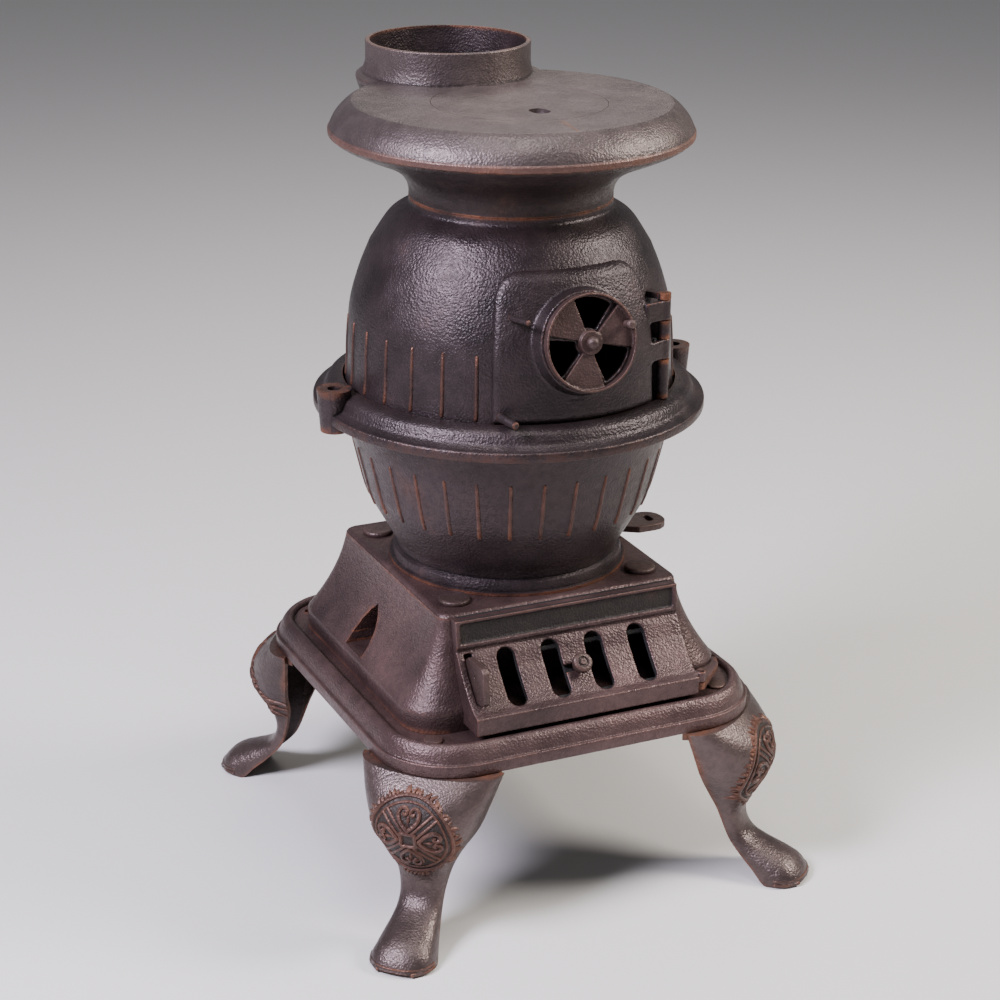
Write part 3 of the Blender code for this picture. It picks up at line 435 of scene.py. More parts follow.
def door_body():
    """Curved panel lofted through level sections."""
    wall = DOME_OUT
    rows = []
    zs = [DOOR_Z0 + z for z in (0, .8, 1.6, 3, 4.6, 6.5, 9)] + [499 + 5.2 * k for k in range(19)]
    top = []
    zc = DOOR_Z1 - DOOR_CORNER
    for a in (6, 14, 22, 30, 38, 46, 54, 62, 68, 74, 79, 83, 86, 88.5):
        top.append((zc + DOOR_CORNER * math.sin(math.radians(a)), DOOR_CORNER * (1 - math.cos(math.radians(a)))))
    rows = [(z, 0) for z in zs] + top
    half_mm = math.radians(DOOR_HALF_ANGLE) * 159
    sections = []
    for z, cut in rows:
        w = half_mm - cut
        r0 = interp(wall, z)
        steps = [0, .8, 1.6, 3, 4.6, 6.5, 9]
        us = [-w + s for s in steps] + [-w + 9 + (2 * w - 18) * k / 30 for k in range(1, 30)] + [
            w - s for s in steps[::-1]]
        outer, inn = [], []
        for u in us:
            side = w - abs(u)
            dz = min(z - DOOR_Z0, 1e9)
            if z > zc:
                cx = max(0.0, abs(u) - (half_mm - DOOR_CORNER))
                side = DOOR_CORNER - math.hypot(cx, z - zc)
            h = door_rise(max(0.0, min(side, dz)))
            t = u / 159
            outer.append(((r0 + h) * math.sin(t), -(r0 + h) * math.cos(t), z))
            inn.append(((r0 + .9) * math.sin(t), -(r0 + .9) * math.cos(t), z))
        sections.append(outer + inn[::-1])
    return loft(sections)


fire_door = add("fire_door", door_body(), IRON, rough=0.5)
tilt = math.radians(WHEEL_TILT)
WN = Vector((0, -math.cos(tilt), math.sin(tilt)))       # out of the wheel's face
WU = Vector((0, math.sin(tilt), math.cos(tilt)))        # up the face
WR = Vector((1, 0, 0))                                  # to the viewer's right
WC = Vector(WHEEL_C)


def wp(u, v, w):
    """Point in the wheel's own frame: right, up, out."""
    return WC + WR * u + WU * v + WN * w


def sector(bm, a0, a1, r0, r1, w0, w1, n=24):
    """Ring sector in the wheel's plane."""
    pts = arc(0, 0, r1, a0, a1, n) + arc(0, 0, r0, a1, a0, n)
    lo = [bm.verts.new(wp(u, v, w0) * MM) for u, v in pts]
    hi = [bm.verts.new(wp(u, v, w1) * MM) for u, v in pts]
    k = len(pts)
    for i in range(k):
        j = (i + 1) % k
        bm.faces.new((lo[i], lo[j], hi[j], hi[i]))
    bm.faces.new(lo)
    bm.faces.new(hi)


bm = bmesh.new()
rod(bm, wp(0, 0, -27), wp(0, 0, -8.7), BOSS_R + 3, BOSS_R, seg=SEG)
boolean(fire_door, add("door_boss", bm), "UNION")
bm = bmesh.new()
rod(bm, wp(0, 0, -60), wp(0, 0, -13.5), 43.0, seg=SEG)
boolean(fire_door, add("boss_hollow", bm))
bm = bmesh.new()
for k in range(3):
    sector(bm, 52 + 120 * k, 106 + 120 * k, 13, 40.5, -16, -6)
bmesh.ops.recalc_face_normals(bm, faces=bm.faces)
boolean(fire_door, add("register_slots", bm))
bm = bmesh.new()
for z0, z1 in ((562.9, 582.6), (525.6, 545.1)):
    rod(bm, (HINGE_X, HINGE_Y, z0), (HINGE_X, HINGE_Y, z1), 6.2, seg=32)
boolean(fire_door, add("door_knuckles", bm), "UNION")
bm = bmesh.new()
for z0, z1 in ((563.4, 582.1), (526.1, 544.6)):
    a, t = Vector((HINGE_X - 1, HINGE_Y - 2.6, 0)), math.radians(28)
    b = Vector((math.sin(t), -math.cos(t), 0)) * (interp(DOME_OUT, z0) + 4.0)
    c = ((a + b) / 2 + Vector((0, 0, (z0 + z1) / 2))) * MM
    ang = math.atan2(b.y - a.y, b.x - a.x)
    bmesh.ops.create_cube(bm, size=1, matrix=Matrix.Translation(c) @ Matrix.Rotation(ang, 4, "Z") @ Matrix.Diagonal(
        ((b - a).length * MM, 5.0 * MM, (z1 - z0) * MM, 1)))
boolean(fire_door, add("door_leaves", bm), "UNION")
boolean(fire_door, pin_hole)
bm = bmesh.new()
rod(bm, wp(0, 0, -20), wp(0, 0, 3), 3.4, seg=32)
screw_hole = add("wheel_screw_hole", bm)
boolean(fire_door, screw_hole)

bm = bmesh.new()
rod(bm, (HINGE_X, HINGE_Y, 520), (HINGE_X, HINGE_Y, 589.2), 2.6, seg=32)
add("fire_door_hinge_pin", bm, RUSTY, rough=0.7)

# latch pegs driven into the door's left edge
for nm, p, q, r1, r2 in (("upper", (-65.4, -139.5, 585.6), (-61.2, -171, 588.6), 2.9, 2.4),
                         ("lower", (-77.9, -146.4, 496.0), (-73.6, -174, 495.2), 4.4, 3.3)):
    bm = bmesh.new()
    rod(bm, p, q, r1 + .3, r1 + .3, 32)
    boolean(fire_door, add("peg_seat_" + nm, bm))
    bm = bmesh.new()
    rod(bm, Vector(p) + (Vector(q) - Vector(p)).normalized() * .4, q, r1, r2, 32)
    o = add("latch_peg_" + nm, bm, RUSTY, rough=0.6)
    soften(o, 1.2)

# ---------------------------------------------------------------- draft wheel
bm = bmesh.new()
rod(bm, wp(0, 0, -8.3), wp(0, 0, 0), WHEEL_R, seg=SEG)
wheel = add("draft_wheel", bm, RUSTY, rough=0.55)
bm = bmesh.new()
rod(bm, wp(0, 0, -4.6), wp(0, 0, 5), WHEEL_R - 2.1, seg=SEG)
boolean(wheel, add("wheel_dish", bm))
bm = bmesh.new()
for k in range(3):
    sector(bm, 45.5 + 120 * k, 108.5 + 120 * k, 11.5, WHEEL_R - 2.1, -12, 4)
bmesh.ops.recalc_face_normals(bm, faces=bm.faces)
boolean(wheel, add("wheel_windows", bm))
bm = bmesh.new()
rod(bm, wp(0, 0, -7), wp(0, 0, -1.6), 12.0, 10.8, 64)
boolean(wheel, add("wheel_hub", bm), "UNION")
boolean(wheel, screw_hole)
bm = bmesh.new()
rod(bm, wp(37, 13, -10), wp(37, 13, 4), 2.1, seg=32)
boolean(wheel, add("knob_hole", bm))
screw = turned("draft_wheel_screw", [(0, -19), (2.9, -19), (2.9, -1.2), (5.6, -1.2), (5.8, -.9)] + spline([(5.8, .9), (5.5, 2.4), (4.6, 3.9), (2.9, 5.3),
                                     (1.4, 5.95), (0, 6.0)], 3), RUSTY, seg=48, rough=0.5)
screw.rotation_euler = (math.pi / 2 - tilt, 0, 0)
screw.location = WC * MM
knob = turned("draft_wheel_knob", [(0, -7.6), (1.8, -7.6), (1.8, -4.2), (3.2, -4.2), (3.0, .5)] + spline([(3.0, 1.5), (3.9, 3.6), (4.3, 5.2), (3.6, 7.2),
                                   (2, 8.2), (0, 8.4)], 4), RUSTY, seg=48, rough=0.55)
knob.rotation_euler = (math.pi / 2 - tilt, 0, 0)
knob.location = wp(37, 13, 0) * MM

# ---------------------------------------------------------------- belly ring with its pierced lugs
belly = turned("belly_ring", [(160.9, 456.4), (187.6, 459.4), (188.6, 459.9), (189, 460.8), (189, 467.2), (188.6, 468.2)] + spline([(187.6, 468.9), (184, 470.2),
                              (179.4, 473.2), (177.2, 477.4), (174.6, 482), (170.4, 485), (164.6, 486.4), (160.4, 486.6)], 5) + [
                              (160.0, 473.9), (147.5, 473.9), (147.5, 459.4), (160.9, 459.4)], IRON)
for s, nm in ((-1, "left"), (1, "right")):
    bm = bmesh.new()
    rod(bm, (s * 180.5, 0, 450.5), (s * 180.5, 0, 492), 13.4, 16.6, 20)
    boolean(belly, add("lug_" + nm, bm), "UNION")
    bm = bmesh.new()
    rod(bm, (s * 180.5, 0, 440), (s * 180.5, 0, 500), 6.6, 6.6, 16)
    boolean(belly, add("lug_hole_" + nm, bm))

# ---------------------------------------------------------------- fire bowl on its round foot
bowl_in = [(r - BOWL_WALL, z) for r, z in BOWL_OUT[2:]]
bowl = turned("fire_bowl", [(117, 299.3), (117, 301.6), (113.6, 302.6), (113.2, 307), (112, 310.8)] + BOWL_OUT
              + [(154.2, 459)] + bowl_in[-2::-1] + [(101.5, 308.9), (90, 308.9), (90, 299.3)], IRON)
ribs("bowl_ribs", BOWL_OUT, 366, 423, [a * RIB_STEP for a in range(30)])
bm = bmesh.new()
block(bm, (80, -34, 301.75), (130, 34, 311.5))
boolean(bowl, add("shaker_window", bm))

# grate and the bar that shakes it
bm = bmesh.new()
rod(bm, (0, 0, 309.3), (0, 0, 317.1), 97.5, seg=SEG)
grate = add("grate", bm, DARK, rough=0.8, metal=0.4, smooth=False)
bm = bmesh.new()
for k in range(-4, 5):
    half = math.sqrt(86 ** 2 - (k * 18) ** 2)
    for s in (-1, 1):
        block(bm, (k * 18 - 4.5, min(s * 5, s * half), 300), (k * 18 + 4.5, max(s * 5, s * half), 330))
boolean(grate, add("grate_slots", bm))
TAB_X = 158.5
bar = prism("shaker_bar", [(58, -9), (124, -9), (139, -19)] + arc(TAB_X, -2.5, 16.5, -90, 0, 4)
            + arc(TAB_X, 2.5, 16.5, 0, 90, 4) + [(139, 19), (124, 9), (58, 9)], 302.1, 309.0, rgb=RUSTY, rough=0.6,
            smooth=False)
boolean(bar, prism("shaker_eye", arc(TAB_X, -4, 3.6, 180, 360, 8) + arc(TAB_X, 4, 3.6, 0, 180, 8), 290, 330))


# ---------------------------------------------------------------- pedestal
def flare(z):
    u = max(0.0, min(1.0, (PED_TOP_Z - z) / (PED_TOP_Z - PED_FLARE_Z)))
    return 0.35 * u + 0.65 * u * u


def ped_section(z, d=0.0, n=16):
    f = flare(z)
    return at_z(rrect(PED_TOP_H + PED_DX * f - d, PED_TOP_H + PED_DY * f - d, PED_RC0 + (PED_RC1 - PED_RC0) * f - d * .8,
                      n), z)


heights = [PED_FLARE_Z + (PED_TOP_Z - PED_FLARE_Z) * k / 28 for k in range(28)]
pedestal = add("pedestal", loft([at_z([(x, y) for x, y, _ in ped_section(PED_FLARE_Z)], PED_Z0)]
                                + [ped_section(z) for z in heights] + [ped_section(294.6)]
                                + [at_z([(x, y) for x, y, _ in ped_section(294.6, 1.4)], 297.6),
                                   at_z([(x, y) for x, y, _ in ped_section(294.6, 4.0)], PED_TOP_Z)]), RUSTY, rough=0.6)
boolean(pedestal, add("ash_pit", loft([at_z([(x, y) for x, y, _ in ped_section(PED_FLARE_Z, PED_WALL)], PED_Z0 - 4)]
                                      + [ped_section(z, PED_WALL) for z in heights] + [ped_section(291.5, PED_WALL)])))
bm = bmesh.new()
rod(bm, (0, 0, 280), (0, 0, 310), 89, seg=SEG)
boolean(pedestal, add("ash_drop", bm))
bm = bmesh.new()
block(bm, (-103, -175, 207), (103, -100, 284))
boolean(pedestal, add("rake_opening", bm))
arch = [(-14, 217), (25, 217)] + [(25, 229), (21, 243), (14, 254), (5.5, 262.5), (-3, 254), (-10, 243), (-14, 229)]
boolean(pedestal, prism("side_arch", arch, -190, 190, "x"))
# bracket of the ash door's lift-off hinge, cast on at the front right
AX, AY = ASH_HINGE
bracket = arc(AX, AY, 5.1, 150, 300, 8) + [(159, -152), (164, -139), (150, -128), (119.2, -150)]
boolean(pedestal, prism("hinge_bracket", bracket, 204.6, 211.2), "UNION")
bm = bmesh.new()
rod(bm, (AX, AY, 200), (AX, AY, 216), 2.6, seg=32)
boolean(pedestal, add("bracket_hole", bm))

bm = bmesh.new()
for sx in (-1, 1):
    for sy in (-1, 1):
        rod(bm, (sx * BOLT_XY[0], sy * BOLT_XY[1], 270), (sx * BOLT_XY[0], sy * BOLT_XY[1], 320), 4.4, seg=32)
boolean(pedestal, add("bolt_holes", bm))
for sy, row in ((-1, "front"), (1, "back")):
    for sx, side in ((-1, "left"), (1, "right")):
        o = turned("pedestal_bolt_%s_%s" % (row, side),
                   [(0, 194.4), (4, 194.4), (4, 299.35), (14.8, 299.35)] + spline([(15.1, 299.9), (15.2, 301.4), (14.2, 303.1),
                    (11, 303.9), (5, 304.15), (0, 304.2)], 4),
                   RUSTY, seg=48, rough=0.6)
        o.location = (sx * BOLT_XY[0] * MM, sy * BOLT_XY[1] * MM, 0)

# ---------------------------------------------------------------- ash door
back = []
for z in [202.2] + heights + [297.5]:
    back.append((-(PED_TOP_H + PED_DY * flare(z)) - .6, z))
ash = prism("ash_door", ASH_FRONT + back, -ASH_HALF, ASH_HALF, "x", rgb=RUSTY, rough=0.55, smooth=False)
inside = offset_line(ASH_FRONT, 5.0)
inside[0] = (-134, 291.5)
inside[1] = (-137, 271.5)
inside[2] = (-135, 267.5)
inside[-2] = (-185, 214.5)
inside[-1] = (-185, 207.4)
hollow = inside + [(-130, 207.4), (-110, 207.4), (-110, 291.5)]
boolean(ash, prism("ash_door_hollow", hollow, -ASH_HALF + 5, ASH_HALF - 5, "x"))
rec = [(-146, 296), (-146, 274.3), (-136.6, 274.3), (-134.3, 294.4), (-140, 294.9)]
rec = [(-150, 294.2), (-150, 274.6), (-138.9, 274.6), (-136.8, 294.2)]
boolean(ash, prism("name_recess", rec, -112.4, 112.4, "x"))
T, B = Vector((-145.5, 264.5)), Vector((-181, 224.5))
sd = (B - T).normalized()
sn = Vector((sd.y, -sd.x))
mid, half = (T + B) / 2, (B - T).length / 2
bm = bmesh.new()
for x in SLOT_X:
    pts = [(x + p, q) for p, q in arc(0, -(half - 6.2), 9.5, 180, 360, 8) + arc(0, half - 7.4, 9.5, 0, 180, 8)]
    rows = []
    for w in (-30, 30):
        rows.append([bm.verts.new(Vector((p, mid.x + sd.x * q + sn.x * w, mid.y + sd.y * q + sn.y * w)) * MM)
                     for p, q in pts])
    k = len(pts)
    for i in range(k):
        j = (i + 1) % k
        bm.faces.new((rows[0][i], rows[0][j], rows[1][j], rows[1][i]))
    bm.faces.new(rows[0])
    bm.faces.new(rows[1])
bmesh.ops.recalc_face_normals(bm, faces=bm.faces)
slots = add("draft_slots", bm)
boolean(ash, slots)
KNOB_X = 0.9
KC = Vector((-160.7, 240.8))           # on the slope between the middle slots


def slope_block(bm, x0, x1, q0, q1, w0, w1):
    """Box laid on the slope: across, down and out of it."""
    rows = []
    for w in (w0, w1):
        rows.append([bm.verts.new(Vector((x, KC.x + sd.x * q + sn.x * w, KC.y + sd.y * q + sn.y * w)) * MM)
                     for x, q in ((x0, q0), (x1, q0), (x1, q1), (x0, q1))])
    for i in range(4):
        j = (i + 1) % 4
        bm.faces.new((rows[0][i], rows[0][j], rows[1][j], rows[1][i]))
    bm.faces.new(rows[0])
    bm.faces.new(rows[1])
    bmesh.ops.recalc_face_normals(bm, faces=bm.faces)


bm = bmesh.new()
slope_block(bm, -24, 5.1, -3.6, 3.6, -20, 20)
boolean(ash, add("knob_slot", bm))
bm = bmesh.new()
block(bm, (-110.2, -200, 226.5), (-101.8, -136, 265))
boolean(ash, add("latch_slit", bm))
bm = bmesh.new()
rod(bm, (AX, AY, 211.6), (AX, AY, 222.5), 5.1, seg=32)
boolean(ash, add("ash_knuckle", bm), "UNION")
bm = bmesh.new()
block(bm, (ASH_HALF - 3, AY - 4.4, 212), (AX, AY + 4.4, 218.6))
boolean(ash, add("ash_leaf", bm), "UNION")
bm = bmesh.new()
rod(bm, (AX, AY, 205), (AX, AY, 230), 2.6, seg=32)
boolean(ash, add("ash_pin_hole", bm))
bm = bmesh.new()
rod(bm, (AX, AY, 203.6), (AX, AY, 224), 2.3, seg=32)
add("ash_door_hinge_pin", bm, RUSTY, rough=0.7)

latch_pts = [(-146.6, 262.6), (-150.5, 265.6), (-180.5, 266), (-184.6, 262.4), (-187.4, 233.4), (-184.4, 229.6),
             (-172, 227.2), (-158, 229), (-146, 236), (-142.5, 248), (-143.4, 259)]
latch = prism("ash_door_latch", latch_pts, -109.2, -102.8, "x", rgb=RUSTY, rough=0.6, smooth=False)
bm = bmesh.new()
rod(bm, (-120, -166, 252), (-90, -166, 252), 1.8, seg=32)
rod(bm, (-120, *LATCH_PIVOT), (-90, *LATCH_PIVOT), 2.5, seg=32)
boolean(latch, add("latch_eyes", bm))
bm = bmesh.new()
rod(bm, (-115, *LATCH_PIVOT), (-105, *LATCH_PIVOT), 2.5, seg=32)
boolean(ash, add("latch_pin_seat", bm))
bm = bmesh.new()
rod(bm, (-114.6, *LATCH_PIVOT), (-100, *LATCH_PIVOT), 2.2, seg=32)
add("ash_door_latch_pin", bm, RUSTY, rough=0.7)

# draft slide behind the slope, with the knob riveted to it
slope = ASH_FRONT[3:8]
face = offset_line(slope, 5.8)
rear = offset_line(slope, 8.8)

slide = prism("draft_slide", face + rear[::-1], -58.6, 100, "x", rgb=DARK, rough=0.7, smooth=False)
bm = bmesh.new()
for x in SLOT_X[1:]:
    slope_block(bm, x - 10.2, x + 10.2, -22.4, 23.4, -30, 20)
boolean(slide, add("slide_windows", bm))
bm = bmesh.new()
ks = Vector((KNOB_X, KC.x, KC.y))
kn = Vector((0, sn.x, sn.y))
if kn.y > 0:
    kn = -kn
rod(bm, ks - kn * 20, ks + kn * 20, 2.9, seg=32)
boolean(slide, add("knob_shank_hole", bm))
kb = turned("draft_slide_knob", [(0, -9.4), (2.6, -9.4), (2.6, 1.2), (6.6, 1.2), (7.2, 5.4), (9.4, 7.6), (9.9, 10.6), (9.2, 13),
                                 (7.8, 14), (5.4, 14.2), (4.8, 13.1), (3.3, 13.1), (2.9, 14.5), (1.3, 14.7), (0, 14)], RUSTY, seg=48,
            rough=0.5)
kb.rotation_euler = (math.atan2(-kn.y, kn.z), 0, 0)
kb.location = ks * MM

# ---------------------------------------------------------------- base tray
N_TRAY = 30


def tray(d, z):
    return at_z(rrect(TRAY_HX - d, TRAY_HY - d, TRAY_RC - d, N_TRAY), z)


base_tray = add("base_tray", loft([tray(22, 187.6), tray(11, 185.8), tray(6, 178), tray(5.4, TRAY_Z0), tray(0.8, TRAY_Z0),
                                   tray(0.2, TRAY_Z0 + .3), tray(0, TRAY_Z0 + 1), tray(0, 181.2), tray(0.3, 182)]
                                  + [tray(d, z) for d, z in spline([(1, 182.6), (2.8, 183.1), (4, 185.9), (5.6, 190),
                                                                    (8.2, 194.6), (11, 197.5), (13.6, 198.7), (16, 198.4),
                                                                    (17.8, 196.9), (18.6, 195.2), (18.8, TRAY_FLOOR)], 5)]), RUSTY, rough=0.6)
bm = bmesh.new()
for sx in (-1, 1):
    for sy in (-1, 1):
        rod(bm, (sx * LEG_BOLT[0], sy * LEG_BOLT[1], 160), (sx * LEG_BOLT[0], sy * LEG_BOLT[1], 210), 4.6, seg=32)
boolean(base_tray, add("leg_bolt_holes", bm))

# ---------------------------------------------------------------- legs
CX, CY = TRAY_HX - TRAY_RC, TRAY_HY - TRAY_RC
S0 = (CX + CY) / math.sqrt(2)
cd, sdg = math.cos(LEG_DIR), math.sin(LEG_DIR)


def leg_point(s, t, z, sx, sy):
    s -= S0
    return mirror_sign((CX + s * cd - t * sdg, CY + s * sdg + t * cd, z), sx, sy)


def leg_section(o, b, w, q, full, sx, sy, n=52):
    """Crescent across the leg: a rounded outer face and a hollow back."""
    outer, inn = [], []
    so, zo = o
    sb, zb = b
    for k in range(n + 1):
        a = math.pi * k / n
        t, h = -w * math.cos(a), max(0.0, math.sin(a)) ** full
        outer.append(leg_point(sb + (so - sb) * h, t, zb + (zo - zb) * h, sx, sy))
    length = math.hypot(so - sb, zo - zb)
    deep = q * max(0.0, 1 - 7 / length)
    wi = w - 6.5 * q - 1.5 * (1 - q)
    for k in range(n + 1):
        a = math.pi * (n - k) / n
        t, h = -wi * math.cos(a), math.sin(a) * deep
        inn.append(leg_point(sb + (so - sb) * h, t, zb + (zo - zb) * h, sx, sy))
    return outer + inn


def leg_plate(sx, sy):
    """Top plate that the bolt goes through, inside the leg's knee."""
    pts = []
    for k in range(9):
        a = math.pi * k / 8
        pts.append(leg_point(209.5 + 40 * max(0.0, math.sin(a)) ** 0.85, -65 * math.cos(a), 0, sx, sy)[:2])
    return pts


FINE_LEG = [((r[0], r[1]), (r[2], r[3]), r[4], min(1.0, max(0.0, r[5])), r[6])
            for r in spline([(o[0], o[1], b[0], max(0.0, b[1]), w, q, f) for o, b, w, q, f in LEG], 9)]
FINE_LEG = [(o, (b[0], max(0.0, b[1])), w, q, f) for o, b, w, q, f in FINE_LEG]
MED_Z, MED_R, MED_T = 119.0, 39.5, -2.0


def knee(t, z):
    """Outward distance of the leg's outer face at t across and height z."""
    for a, b in zip(FINE_LEG, FINE_LEG[1:]):
        if b[0][1] <= z <= a[0][1]:
            k = (a[0][1] - z) / (a[0][1] - b[0][1])
            so = a[0][0] + (b[0][0] - a[0][0]) * k
            sb = a[1][0] + (b[1][0] - a[1][0]) * k
            w = a[2] + (b[2] - a[2]) * k
            f = a[4] + (b[4] - a[4]) * k
            h = max(0.0, 1 - (t / w) ** 2) ** (f / 2)
            return sb + (so - sb) * h
    return FINE_LEG[0][0][0]


def relief(bm, line, r, sx, sy, sink=0.35, seg=8):
    """Raised bar laid along a line (t, v) drawn on the knee round the medallion's centre."""
    pts = []
    for t, v in line:
        z, t = MED_Z + v, t + MED_T
        p = Vector(leg_point(knee(t, z), t, z, sx, sy))
        if not pts or (p - pts[-1]).length > 0.35:
            pts.append(p)
    n = Vector((cd * sx, sdg * sy, 0))
    rr = r[0] if isinstance(r, list) else r
    pts = [p - n * rr * sink for p in pts]
    if isinstance(r, list):
        r = [r[int(i * (len(r) - 1) / max(1, len(pts) - 1))] for i in range(len(pts))]
    tube(bm, pts, r, seg)


def turn(line, a, r=0.0):
    """Line (t, v) moved up by r and turned by a degrees."""
    a = math.radians(a)
    return [(x * math.cos(a) + (y + r) * math.sin(a), -x * math.sin(a) + (y + r) * math.cos(a)) for x, y in line]


def medallion(bm, sx, sy):
    """Cast ornament on the knee: two rings, crossed bars, a centre square, four scroll hearts and a leafy border."""
    circle = lambda r, n=96: [(r * math.cos(math.tau * k / n), r * math.sin(math.tau * k / n)) for k in range(n + 1)]
    relief(bm, circle(MED_R), 2.3, sx, sy, .1)
    relief(bm, circle(MED_R - 4.8), 1.5, sx, sy, .1)
    for a in (45, 135, 225, 315):
        for off in (-2.9, 2.9):
            relief(bm, turn([(off, y) for y in np.linspace(9, MED_R - 5, 14)], a), 1.6, sx, sy, .1)
    sq = turn([(x, y) for (x0, y0), (x1, y1) in zip([(-7, -7), (7, -7), (7, 7), (-7, 7)], [(7, -7), (7, 7), (-7, 7), (-7, -7)])
               for x, y in [(x0 + (x1 - x0) * k / 8, y0 + (y1 - y0) * k / 8) for k in range(9)]], 0)
    relief(bm, sq, 2.1, sx, sy, .05)
    for a in (0, 90, 180, 270):
        for s in (-1, 1):
            heart = [(0, 10.5), (3.6, 13.6), (7.6, 17.8), (9.8, 22.4), (9.8, 26.6), (7.4, 29.6), (4.2, 29.9), (2.2, 28), (2.2, 25.4),
                     (4.4, 24.4), (5.6, 25.6)]
            relief(bm, turn([(s * x, y) for x, y in spline(heart, 4)], a), [2.3] * 3 + [2.2] * 4 + [2.0, 1.8, 1.6], sx, sy, .05)
        relief(bm, turn([(0, y) for y in np.linspace(15, 24, 6)], a), [.8, 1.5, 2.0, 1.5, .8], sx, sy, .1)
    rnd = random.Random(11)
    for k in range(64):
        a = 360 * k / 64 + rnd.uniform(-3, 3)
        d = MED_R + .6
        l = rnd.uniform(2.0, 6.4)
        bend = rnd.uniform(-4.4, 4.4)
        line = turn([(bend * u * u, d + l * u) for u in (0, .25, .5, .75, 1)], a)
        line = [(t, v) for t, v in line if MED_Z + v < 166 and abs(t + MED_T) < 50 - max(0, 112 - MED_Z - v) * .55]
        if len(line) > 2:
            relief(bm, line, [2.0, 2.6, 2.2, 1.6, .7], sx, sy, .35, 7)
    for k in range(7):
        x = -10.5 + 3.5 * k
        relief(bm, [(x * (1 + .12 * u), -MED_R - 2 - 5 * u - 1.5 * math.cos(x / 6)) for u in (0, .3, .6, 1)],
               [1.6, 2.4, 2.0, .8], sx, sy, .4, 7)


def pad_band(bm, sx, sy):
    """Raised lip round the foot's sole, following its outer face."""
    for z, r, push in ((3.4, 2.0, -.9), (7.4, 1.0, -.2)):
        rows = [(a[0][1], a) for a in FINE_LEG[-28:]]
        for s_ in (-1, 1):
            pts = []
            for u in np.linspace(0, 1, 40):
                t = s_ * 30.5 * math.sin(u * math.pi / 2)
                best = None
                for (z0, a), (z1, b) in zip(rows, rows[1:]):
                    if abs(t) >= max(a[2], b[2]) - .05:
                        continue
                    fs = []
                    for q in (a, b):
                        h = max(0.0, 1 - (t / max(q[2], abs(t) + .01)) ** 2) ** (q[4] / 2)
                        fs.append((q[1][0] + (q[0][0] - q[1][0]) * h, q[1][1] + (q[0][1] - q[1][1]) * h))
                    (sa, za), (sb, zb) = fs
                    if min(za, zb) <= z <= max(za, zb) and abs(za - zb) > 1e-6:
                        k = (za - z) / (za - zb)
                        v = sa + (sb - sa) * k
                        if best is None or v > best:
                            best = v
                if best is not None:
                    pts.append(Vector(leg_point(best + push, t, z, sx, sy)))
            if len(pts) > 4:
                line = [pts[0]]
                for q in pts[1:]:
                    if (q - line[-1]).length > 1.0:
                        line.append(q)
                tube(bm, line, r, 8)


for sy, row in ((-1, "front"), (1, "back")):
    for sx, side in ((-1, "left"), (1, "right")):
        nm = "leg_%s_%s" % (row, side)
        leg = add(nm, loft([leg_section(*L, sx, sy) for L in FINE_LEG]), IRON)
        x, y = sx * LEG_BOLT[0], sy * LEG_BOLT[1]
        plate = add(nm + "_plate", loft([at_z(leg_plate(sx, sy), 161), at_z(leg_plate(sx, sy), 169.7)]), IRON)
        bm = bmesh.new()
        rod(bm, (x, y, 150), (x, y, 200), 4.6, seg=32)
        hole = add(nm + "_hole", bm)
        bm = bmesh.new()
        rod(bm, (x, y, 165), (x, y, 185.5), 9.5, seg=32)
        boss = add(nm + "_boss", bm, IRON)
        boolean(plate, hole)
        boolean(boss, hole)
        bm = bmesh.new()
        medallion(bm, sx, sy)
        add(nm + "_medallion", bm, IRON)
        bm = bmesh.new()
        pad_band(bm, sx, sy)
        add(nm + "_lip", bm, IRON)
        if (row, side) != ("back", "left"):
            b = turned("leg_bolt_%s_%s" % (row, side), [(0, 166), (4, 166), (4, 193.9), (9, 193.9), (9.2, 194.2),
                                                       (9.2, 195.2), (8.8, 195.9), (8, 196.3), (0, 196.4)], RUSTY, seg=48)
            b.location = (x * MM, y * MM, 0)

# ---------------------------------------------------------------- finished meshes
REMESH = {"fire_door": (1.2, 4), "draft_wheel": (0.7, 2), "ash_door": (1.05, 2), "ash_door_latch": (0.6, 3), "shaker_bar": (0.9, 3), "draft_slide": (1.2, 2)}
REFINE = {"cook_top": 7.0, "stove_lid": 6.0, "neck": 8.0, "dome": 8.0, "belly_ring": 7.0, "fire_bowl": 9.0, "pedestal": 8.5,
          "base_tray": 9.0, "fire_door_hinge_pin": 2.5, "latch_peg_upper": 2.0, "latch_peg_lower": 2.0, "draft_slide_knob": 2.0,
          "draft_wheel_knob": 2.0, "ash_door_hinge_pin": 2.5, "grate": 6.0}
PARTS_OF = {"dome_ribs": "dome", "bowl_ribs": "fire_bowl"}
for row in ("front", "back"):
    for side in ("left", "right"):
        for part in ("plate", "boss", "lip", "medallion"):
            PARTS_OF["leg_%s_%s_%s" % (row, side, part)] = "leg_%s_%s" % (row, side)
for o in list(PARTS.objects):
    nm = o.name[2:]
    if nm in REMESH:
        size, rounds = REMESH[nm]
        m = o.modifiers.new("remesh", "REMESH")
        m.mode, m.voxel_size, m.use_smooth_shade = "VOXEL", size * MM, True
        m = o.modifiers.new("even", "SMOOTH")
        m.factor, m.iterations = 0.5, rounds
dg = bpy.context.evaluated_depsgraph_get()
done = {}
for o in list(PARTS.objects):
    e = o.evaluated_get(dg)
    me = bpy.data.meshes.new_from_object(e, depsgraph=dg)
    me.transform(o.matrix_world)
    done[o.name[2:]] = me
for col in (PARTS, CUT):
    for o in list(col.objects):
        bpy.data.objects.remove(o, do_unlink=True)
    bpy.data.collections.remove(col)


